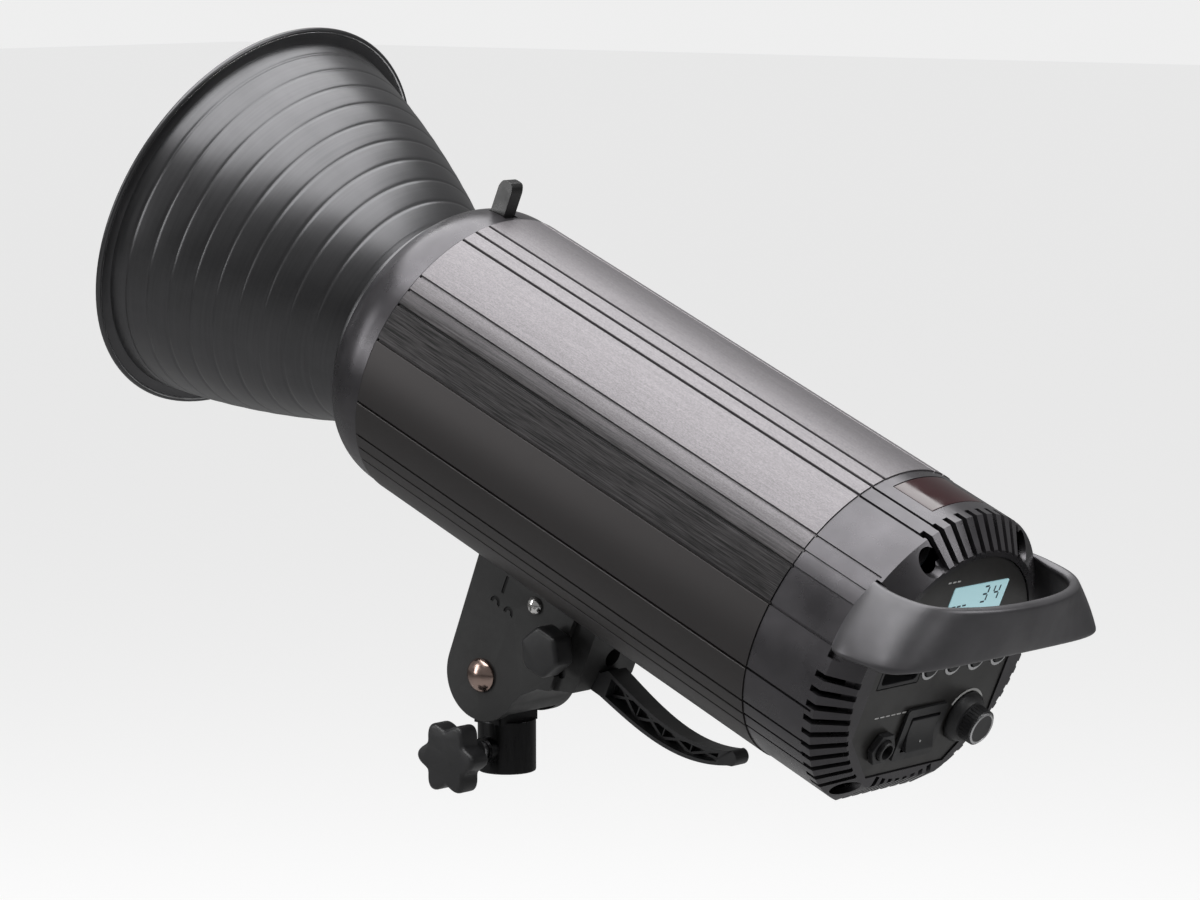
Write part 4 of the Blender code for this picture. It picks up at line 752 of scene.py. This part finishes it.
def dial():
    skirt = [(-0.4, 3.3), (-0.4, 10.8), (-0.6, 11), (-2, 11), (-5, 9), (-5.2, 7.9), (-10.4, 7.7), (-10.4, 0),
             (4.6, 0), (4.6, 3.2)]
    flutes = bmesh.new()
    for place in circle(8.05, 32, DIAL_CENTRE):
        rod(0.42, -PANEL_FACE - 10.6, -PANEL_FACE - 5.6, "X", place, 8, flutes)
    shape = turned([(along - PANEL_FACE, radius) for along, radius in skirt], 96, centre=DIAL_CENTRE)
    make("dial_knob", shape, BLACK_PLASTIC, "dial", ["power_dial"], cuts=[flutes])
    face = [(-10.42, 0), (-10.42, 7.0), (-10.9, 7.0), (-11.15, 6.7), (-11.2, 6.2), (-10.95, 5.9), (-10.95, 0)]
    rim = turned([(along - PANEL_FACE, radius) for along, radius in face], 72, centre=DIAL_CENTRE)
    make("dial_rim", rim, RING_SILVER, "dial")
    disc = rod(5.85, -PANEL_FACE - 11.02, -PANEL_FACE - 10.96, "X", DIAL_CENTRE, 48)
    make("dial_face", disc, BLACK_PLASTIC, "dial")


def rocker():
    width, height = ROCKER_SIZE
    frame_outline = rectangle(width + 2.4, height + 2.4, ROCKER_CENTRE, 1.5)
    opening = rectangle(width - 5, height - 5, ROCKER_CENTRE, 0.6)
    box = slab(rectangle(width - 0.8, height - 0.8, ROCKER_CENTRE), -PANEL_FACE - 1.0, -PANEL_FACE + 16, "X",
               [rectangle(width - 5, height - 5, ROCKER_CENTRE)])
    floor = slab(rectangle(width - 2, height - 2, ROCKER_CENTRE), -PANEL_FACE + 12, -PANEL_FACE + 15)
    make("rocker_surround", slab(frame_outline, -PANEL_FACE - 1.6, -PANEL_FACE - GAP, "X", [opening]),
         BLACK_PLASTIC, "head", ["rocker_frame"], joins=[box, floor], bevel=0.3)
    reach, deep = (height - 5) / 2 - 1.1, 4.5
    dish = [(-reach + 2 * reach * i / 12, -4.2 + 2.0 * (i / 12) + 1.1 * sin(pi * i / 12)) for i in range(13)]
    outline = [(x, z) for z, x in dish] + [(deep, reach - 0.8), (deep, -reach + 0.8)]
    half = (width - 5) / 2 - 0.4
    shape = slab([(x - PANEL_FACE, z + ROCKER_CENTRE[1]) for x, z in outline], ROCKER_CENTRE[0] - half,
                 ROCKER_CENTRE[0] + half, "Y")
    make("rocker_key", shape, BLACK_PLASTIC, "rocker", ["rocker_switch"], bevel=0.35)
    marks = bmesh.new()
    on_mark = rectangle(0.7, 3.0, (ROCKER_CENTRE[0], ROCKER_CENTRE[1] - 4.4))
    slab(on_mark, -PANEL_FACE - 3.0, -PANEL_FACE - 2.4, into=marks)
    make("rocker_marks", marks, PRINT_WHITE, "rocker")


def sockets():
    jack = [(-5, 3.2), (-5, 4.0), (-4.7, 4.3), (3, 4.3), (3, 7), (20, 7), (20, 0), (17, 0), (17, 3.2)]
    shape = turned([(along - PANEL_FACE, radius) for along, radius in jack], MIDDLING, centre=JACK_CENTRE)
    make("jack_barrel", shape, BLACK_PLASTIC, "head", ["sync_jack"])
    nut = slab(circle(7.4, 6, JACK_CENTRE), -PANEL_FACE - 3.2, -PANEL_FACE - GAP, "X",
               [circle(4.6, 40, JACK_CENTRE)])
    make("jack_nut", nut, BLACK_PLASTIC, "head", ["sync_jack_nut"], bevel=0.4)
    width, height = INLET_SIZE
    outer = rectangle(width - 0.6, height - 0.6, INLET_CENTRE, 0.6)
    inner = rectangle(width - 4, height - 4, INLET_CENTRE, 2.0)
    floor = slab(rectangle(width - 2, height - 2, INLET_CENTRE), -PANEL_FACE + 17, -PANEL_FACE + 21)
    make("inlet_shell", slab(outer, -PANEL_FACE, -PANEL_FACE + 22, "X", [inner]), BLACK_PLASTIC, "head",
         ["power_inlet"], joins=[floor], bevel=0.3)
    for number, (across, up) in enumerate(((-7.5, -1), (0, 3), (7.5, -1)), 1):
        centre = (INLET_CENTRE[0] + across, INLET_CENTRE[1] + up)
        pin = slab(rectangle(2, 4, centre), -PANEL_FACE + 3, -PANEL_FACE + 17.2)
        make("inlet_pin_%d" % number, pin, STEEL, "head", bevel=0.3)


# ---------------------------------------------------------------- bracket

def about_pivot(radius, start, end, count):
    return arc(radius, start, end, count, (PIVOT_BEHIND, -PIVOT_BELOW))


def side_view(points):
    return [(-behind, up) for behind, up in points]


def tilt_marks(low, high):
    """The index line and the two hooks beside it, sunk into both cheeks."""
    marks = bmesh.new()
    for near, far in ((low, high), (-high, -low)):
        line = rounded([(209.0, -65), (210.6, -65), (210.6, -73), (209.0, -73)], 0.5)
        slab(side_view(line), near, far, "Y", into=marks)
        for behind, up in ((207.8, -78.5), (216, -79.2)):
            hook = arc(2.75, -20, 190, 16, (behind, up)) + arc(1.2, 190, -20, 16, (behind, up))
            slab(side_view(hook), near, far, "Y", into=marks)
    return marks


def bracket():
    outline = [(191.4, -58), (193.6, -112)] + about_pivot(19.8, 183, 352, 48)
    outline += [(236, -108), (243, -101), (259, -94), (260, -88), (260, -58)]
    channel = [(180, -50), (239, -50), (239, -88)] + about_pivot(16, 60, -8, 24) + [(232, -140), (180, -140)]
    sides = bmesh.new()
    waist = side_view([(249, -50), (270, -50), (270, -120), (249, -120)])
    slab(waist, 17.3, 30, "Y", into=sides)
    slab(waist, -30, -17.3, "Y", into=sides)
    seat = rod(TUBE_RADIUS + GAP, -300, -100, "X", segments=180)
    slot = slab(side_view([(243.5, -84.6), (280, -84.6), (280, -115), (243.5, -115)]), -6.5, 6.5, "Y")
    shoe_run = rod(3.2, 0, 60, "X", segments=24)
    start = Vector((LEVER_AXIS[0], 0, LEVER_AXIS[1]))
    towards = Vector((PIVOT_AXIS[0], 0, PIVOT_AXIS[1])) - start
    turn = Matrix.Translation(start) @ towards.to_track_quat("X", "Z").to_matrix().to_4x4()
    bmesh.ops.transform(shoe_run, matrix=turn, verts=shoe_run.verts)
    umbrella_bore = rod(4.3, -280, -230, "X", (0, UMBRELLA_AXIS[1]))
    cuts = [slab(side_view(channel), -15.4, 15.4, "Y"), sides, seat, umbrella_bore, slot,
            rod(2.3, -30, 30, "Y", LEVER_AXIS), rod(4.2, -30, 30, "Y", PIVOT_AXIS), shoe_run,
            rod(2.3, -30, 30, "Y", CHEEK_SCREW_AXIS), rod(3.0, 0, 30, "Y", UMBRELLA_AXIS),
            tilt_marks(19.3, 30)]
    make("bracket_fork", slab(side_view(outline), -20, 20, "Y"), BRACKET_BLACK, "head", ["tilt_bracket"],
         cuts=cuts, bevel=0.45)
    # A near-black sheet in the floor of the sunk tilt marks: painted shade in the recesses.
    make("tilt_mark_painted_shade", tilt_marks(19.25, 19.6), PAINTED_RECESS_SHADE, "head")


def bracket_fasteners():
    dome = [(20.3, 7.2), (20.9, 7.3), (21.5, 7.0), (22.4, 6.0), (23.2, 4.4), (23.8, 2.4), (24.2, 0)]
    bolt = [(-along, radius) for along, radius in reversed(dome)] + [(-20.3, 3.9), (20.3, 3.9)] + dome
    make("pivot_bolt", turned(bolt, 72, "Y", PIVOT_AXIS), WARM_CHROME, "head", ["tilt_bolt"])
    shank = [(9, 0), (9, 2), (20.3, 2), (20.3, 3.8), (20.8, 3.75), (21.6, 3.2), (22.2, 2.0), (22.4, 0)]
    for side, sign in (("left", 1), ("right", -1)):
        cross = [slab(rectangle(width, height, CHEEK_SCREW_AXIS), sign * 21.2, sign * 25, "Y")
                 for width, height in ((4.4, 0.9), (0.9, 4.4))]
        shape = turned([(sign * along, radius) for along, radius in shank], 40, "Y", CHEEK_SCREW_AXIS)
        make("cross_screw_" + side, shape, CHROME, "head", ["cheek_screw_" + side], cuts=cross)


def star_radius(angle):
    """Six soft lobes, 32 mm over their tips."""
    return 14.0 + 2.0 * cos(6 * angle)


def hexagon_radius(angle):
    """A hexagon 19.2 mm across its flats with well rounded corners."""
    facing = [max(0.0, cos(angle - TURN * (k + 0.5) / 6)) for k in range(6)]
    return 9.6 * sum(f ** 18 for f in facing) ** (-1 / 18)


def knob_shape(radius_at, low, high, centre, count=120):
    """A knob with rounded shoulders, lofted along Y."""
    rings = []
    rounding = 2.0
    shoulders = [(rounding * (1 - cos(radians(a))), rounding * (1 - sin(radians(a))))
                 for a in range(0, 91, 18)]
    levels = [(low + along, inset) for along, inset in shoulders]
    levels += [(high - along, inset) for along, inset in reversed(shoulders)]
    for along, inset in levels:
        corners = [(TURN * i / count, radius_at(TURN * i / count) - inset) for i in range(count)]
        rings.append([(centre[0] + radius * cos(angle), along, centre[1] + radius * sin(angle))
                      for angle, radius in corners])
    return lofted(rings)


def knobs():
    neck = [(20, 0), (20, 5.6), (20.5, 6), (29.5, 7.5), (31, 7.5), (31, 0)]
    hub = turned(neck, MIDDLING, "Y", STAND_SCREW_AXIS)
    star = knob_shape(star_radius, 29, 40, STAND_SCREW_AXIS)
    make("star_knob", star, BLACK_PLASTIC, "stand_knob", ["stand_knob"], place=STAND, joins=[hub],
         cuts=[rod(4.1, 15, 35.4, "Y", STAND_SCREW_AXIS)], smooth=50)
    hub = rod(5.5, 20.3, 24, "Y", UMBRELLA_AXIS, 40)
    hexagon = knob_shape(hexagon_radius, 23, 34.5, UMBRELLA_AXIS)
    make("hex_knob", hexagon, BLACK_PLASTIC, "umbrella_knob", ["umbrella_knob"], joins=[hub],
         cuts=[rod(3.0, 10, 31.4, "Y", UMBRELLA_AXIS)], smooth=50)


def lever_spine(share):
    """Top and bottom of the lever as (behind its pin, above it), at a share of its length."""
    middle = 1.4 - 12.4 * share - 1.8 * share ** 2 + 18.5 * share ** 3
    half = 6.0 - 2.6 * share
    return (14 + 70 * share, middle + half), (14 + 70 * share, middle - half)


def beside_pin(points):
    return [(LEVER_AXIS[0] - behind, LEVER_AXIS[1] + up) for behind, up in points]


def lever():
    """The lock lever: a curved channel, open on the left, with ribs that cross in it."""
    rails = [lever_spine(i / 40) for i in range(41)]
    tip = rails[-1]
    middle = (tip[0][1] + tip[1][1]) / 2
    nose = arc(3.4, 104, -46, 10, (tip[0][0], middle))
    outline = [(10.8, 4.5)] + [pair[0] for pair in rails] + nose + [pair[1] for pair in reversed(rails)]
    outline += arc(4.6, -80, -280, 20)
    body = slab(beside_pin(outline), -6, 6, "Y")
    length = 88
    for vert in body.verts:
        vert.co.y *= 1.0 - 0.3 * max(0.0, (-vert.co.x + LEVER_AXIS[0]) / length)
    wall, rib = 1.6, 0.45
    hollow = [lever_spine(0.04 + 0.88 * i / 32) for i in range(33)]
    tops = [(behind, up - wall) for (behind, up), _ in hollow]
    bottoms = [(behind, up + wall) for _, (behind, up) in hollow]
    cells = bmesh.new()
    for low in range(0, 32, 8):
        high = low + 8
        a, b = Vector(tops[low]), Vector(tops[high])
        c, d = Vector(bottoms[low]), Vector(bottoms[high])
        centre = (a + b + c + d) / 4
        upper = tops[low:high + 1]
        lower = bottoms[low:high + 1]
        up, side = Vector((0, rib * 1.6)), Vector((1.0, 0.0)) * rib * 2.2
        openings = [upper[1:-1] + [tuple(centre + up)], [tuple(centre - up)] + lower[1:-1][::-1],
                    [tuple(a + side * 0.3 - up), tuple(centre - side), tuple(c + side * 0.3 + up)],
                    [tuple(b - side * 0.3 - up), tuple(d - side * 0.3 + up), tuple(centre + side)]]
        for opening in openings:
            slab(beside_pin(opening), -1.5, 10, "Y", into=cells)
    channel = slab(beside_pin(tops + bottoms[::-1]), wall, 10, "Y")
    make("locking_lever", body, BLACK_PLASTIC, "lock_lever", ["lock_lever"],
         cuts=[cells, channel, rod(2.3, -10, 10, "Y", LEVER_AXIS)], bevel=0.3)


# ---------------------------------------------------------------- stand socket

def stand_socket():
    profile = [(0, 9.0), (0, 11.9), (0.25, 12.35), (0.8, 12.5), (21.7, 12.5), (22.3, 12.3), (22.5, 11.8),
               (22.5, 0), (19.5, 0), (19.5, 8.2), (0.8, 8.2)]
    neck = slab(rectangle(17.0, 24.0, (0.5, 0), 2.0), 21.5, 38, "Z")
    barrel = rod(14.0, -14.0, 14.0, "Y", (PIVOT.x, PIVOT.z), 96)
    boss = rod(5.6, 10.5, 15.5, "Y", STAND_SCREW_AXIS, 48)
    cuts = [rod(4.2, -30, 30, "Y", (PIVOT.x, PIVOT.z)), rod(4.1, 4, 20, "Y", STAND_SCREW_AXIS)]
    make("spigot_socket", turned(profile, 96, "Z"), SOCKET_BLACK, "base", ["stand_socket"], place=STAND,
         joins=[neck, barrel, boss], cuts=cuts, bevel=0.3)


# ---------------------------------------------------------------- carried-over solids, stage and camera

CARRIED = {
    "stand_clamp_screw": STEEL, "stand_clamp_shoe": BRASS, "umbrella_screw": STEEL, "umbrella_shoe": BRASS,
    "brake_shoe": BRASS, "lever_pin": SOCKET_BLACK, "latch_pin": STEEL, "mounting_rail": STEEL,
    "rail_bolt": STEEL, "friction_washer_left": PALE_WASHER, "friction_washer_right": PALE_WASHER,
    "bayonet_ring": STEEL, "lamp_socket": CERAMIC, "chassis_plate": ALUMINIUM, "heat_sink": ALUMINIUM,
    "charge_board": BOARD_GREEN, "panel_board": BOARD_GREEN, "charge_transformer": STEEL,
    "fan_frame": BLACK_PLASTIC, "fan_rotor": BLACK_PLASTIC,
    **{"main_capacitor_%d" % number: CAN_BLUE for number in range(1, 5)},
}


def paint_carried():
    for node, look in CARRIED.items():
        for slot in frame["nodes"][node].material_slots:
            slot.material = look


def area_light(name, place, target, size, power, colour=(1, 1, 1)):
    data = bpy.data.lights.new(name, "AREA")
    data.shape = "RECTANGLE"
    data.size, data.size_y = size
    data.energy = power
    data.color = colour
    light = bpy.data.objects.new(name, data)
    bpy.context.scene.collection.objects.link(light)
    light.location = place
    light.rotation_euler = (Vector(target) - Vector(place)).to_track_quat("-Z", "Y").to_euler()


def stage():
    """A pale floor and world that look brighter to the camera than the light they give."""
    floor_mesh = bmesh.new()
    bmesh.ops.create_grid(floor_mesh, x_segments=1, y_segments=1, size=20)
    mesh = bpy.data.meshes.new("floor")
    floor_mesh.to_mesh(mesh)
    floor_mesh.free()
    floor = bpy.data.objects.new("floor", mesh)
    bpy.context.scene.collection.objects.link(floor)
    floor.location.z = -0.45
    pale = Nodes("pale_floor", (0.30, 0.30, 0.30), 0.9)
    pale.set("Emission Color", (1.0, 1.0, 1.0, 1.0))
    lit = pale.tree.nodes.new("ShaderNodeLightPath").outputs["Is Camera Ray"]
    pale.link(pale.maths("MULTIPLY", lit, 0.72), "Emission Strength")
    mesh.materials.append(pale.material)
    world = bpy.data.worlds.new("studio")
    world.use_nodes = True
    tree = world.node_tree
    seen = tree.nodes.new("ShaderNodeLightPath").outputs["Is Camera Ray"]
    strength = tree.nodes.new("ShaderNodeMapRange")
    strength.inputs["To Min"].default_value = 0.23
    strength.inputs["To Max"].default_value = 0.86
    tree.links.new(seen, strength.inputs["Value"])
    tree.links.new(strength.outputs[0], tree.nodes["Background"].inputs["Strength"])
    tree.nodes["Background"].inputs["Color"].default_value = (1.0, 1.0, 1.0, 1.0)
    bpy.context.scene.world = world
    bpy.context.scene.view_settings.view_transform = "Standard"
    middle = (-0.04, 0.0, 0.15)
    area_light("overhead", (0.10, 0.10, 1.50), middle, (2.4, 1.8), 60)
    area_light("back_right", (-1.5, -0.5, 0.8), middle, (0.7, 0.7), 9)
    area_light("front_left", (1.1, 1.3, 0.5), middle, (0.4, 0.9), 6)


def camera():
    data = bpy.data.cameras.new("camera")
    data.sensor_width, data.lens = 36.0, 133.7
    data.clip_start, data.clip_end = 0.05, 60
    made = bpy.data.objects.new("camera", data)
    bpy.context.scene.collection.objects.link(made)
    made.location = (-1.2419, 1.4071, 0.3608)
    made.rotation_euler = Vector((0.6412, -0.7583, -0.1181)).to_track_quat("-Z", "Y").to_euler()
    bpy.context.scene.camera = made


for build in (reflector, front_housing, latch, lamps, tube, rear_cover, handle, panel, dial, rocker, sockets,
              bracket, bracket_fasteners, knobs, lever, stand_socket, paint_carried, stage, camera):
    build()

bpy.context.view_layer.update()
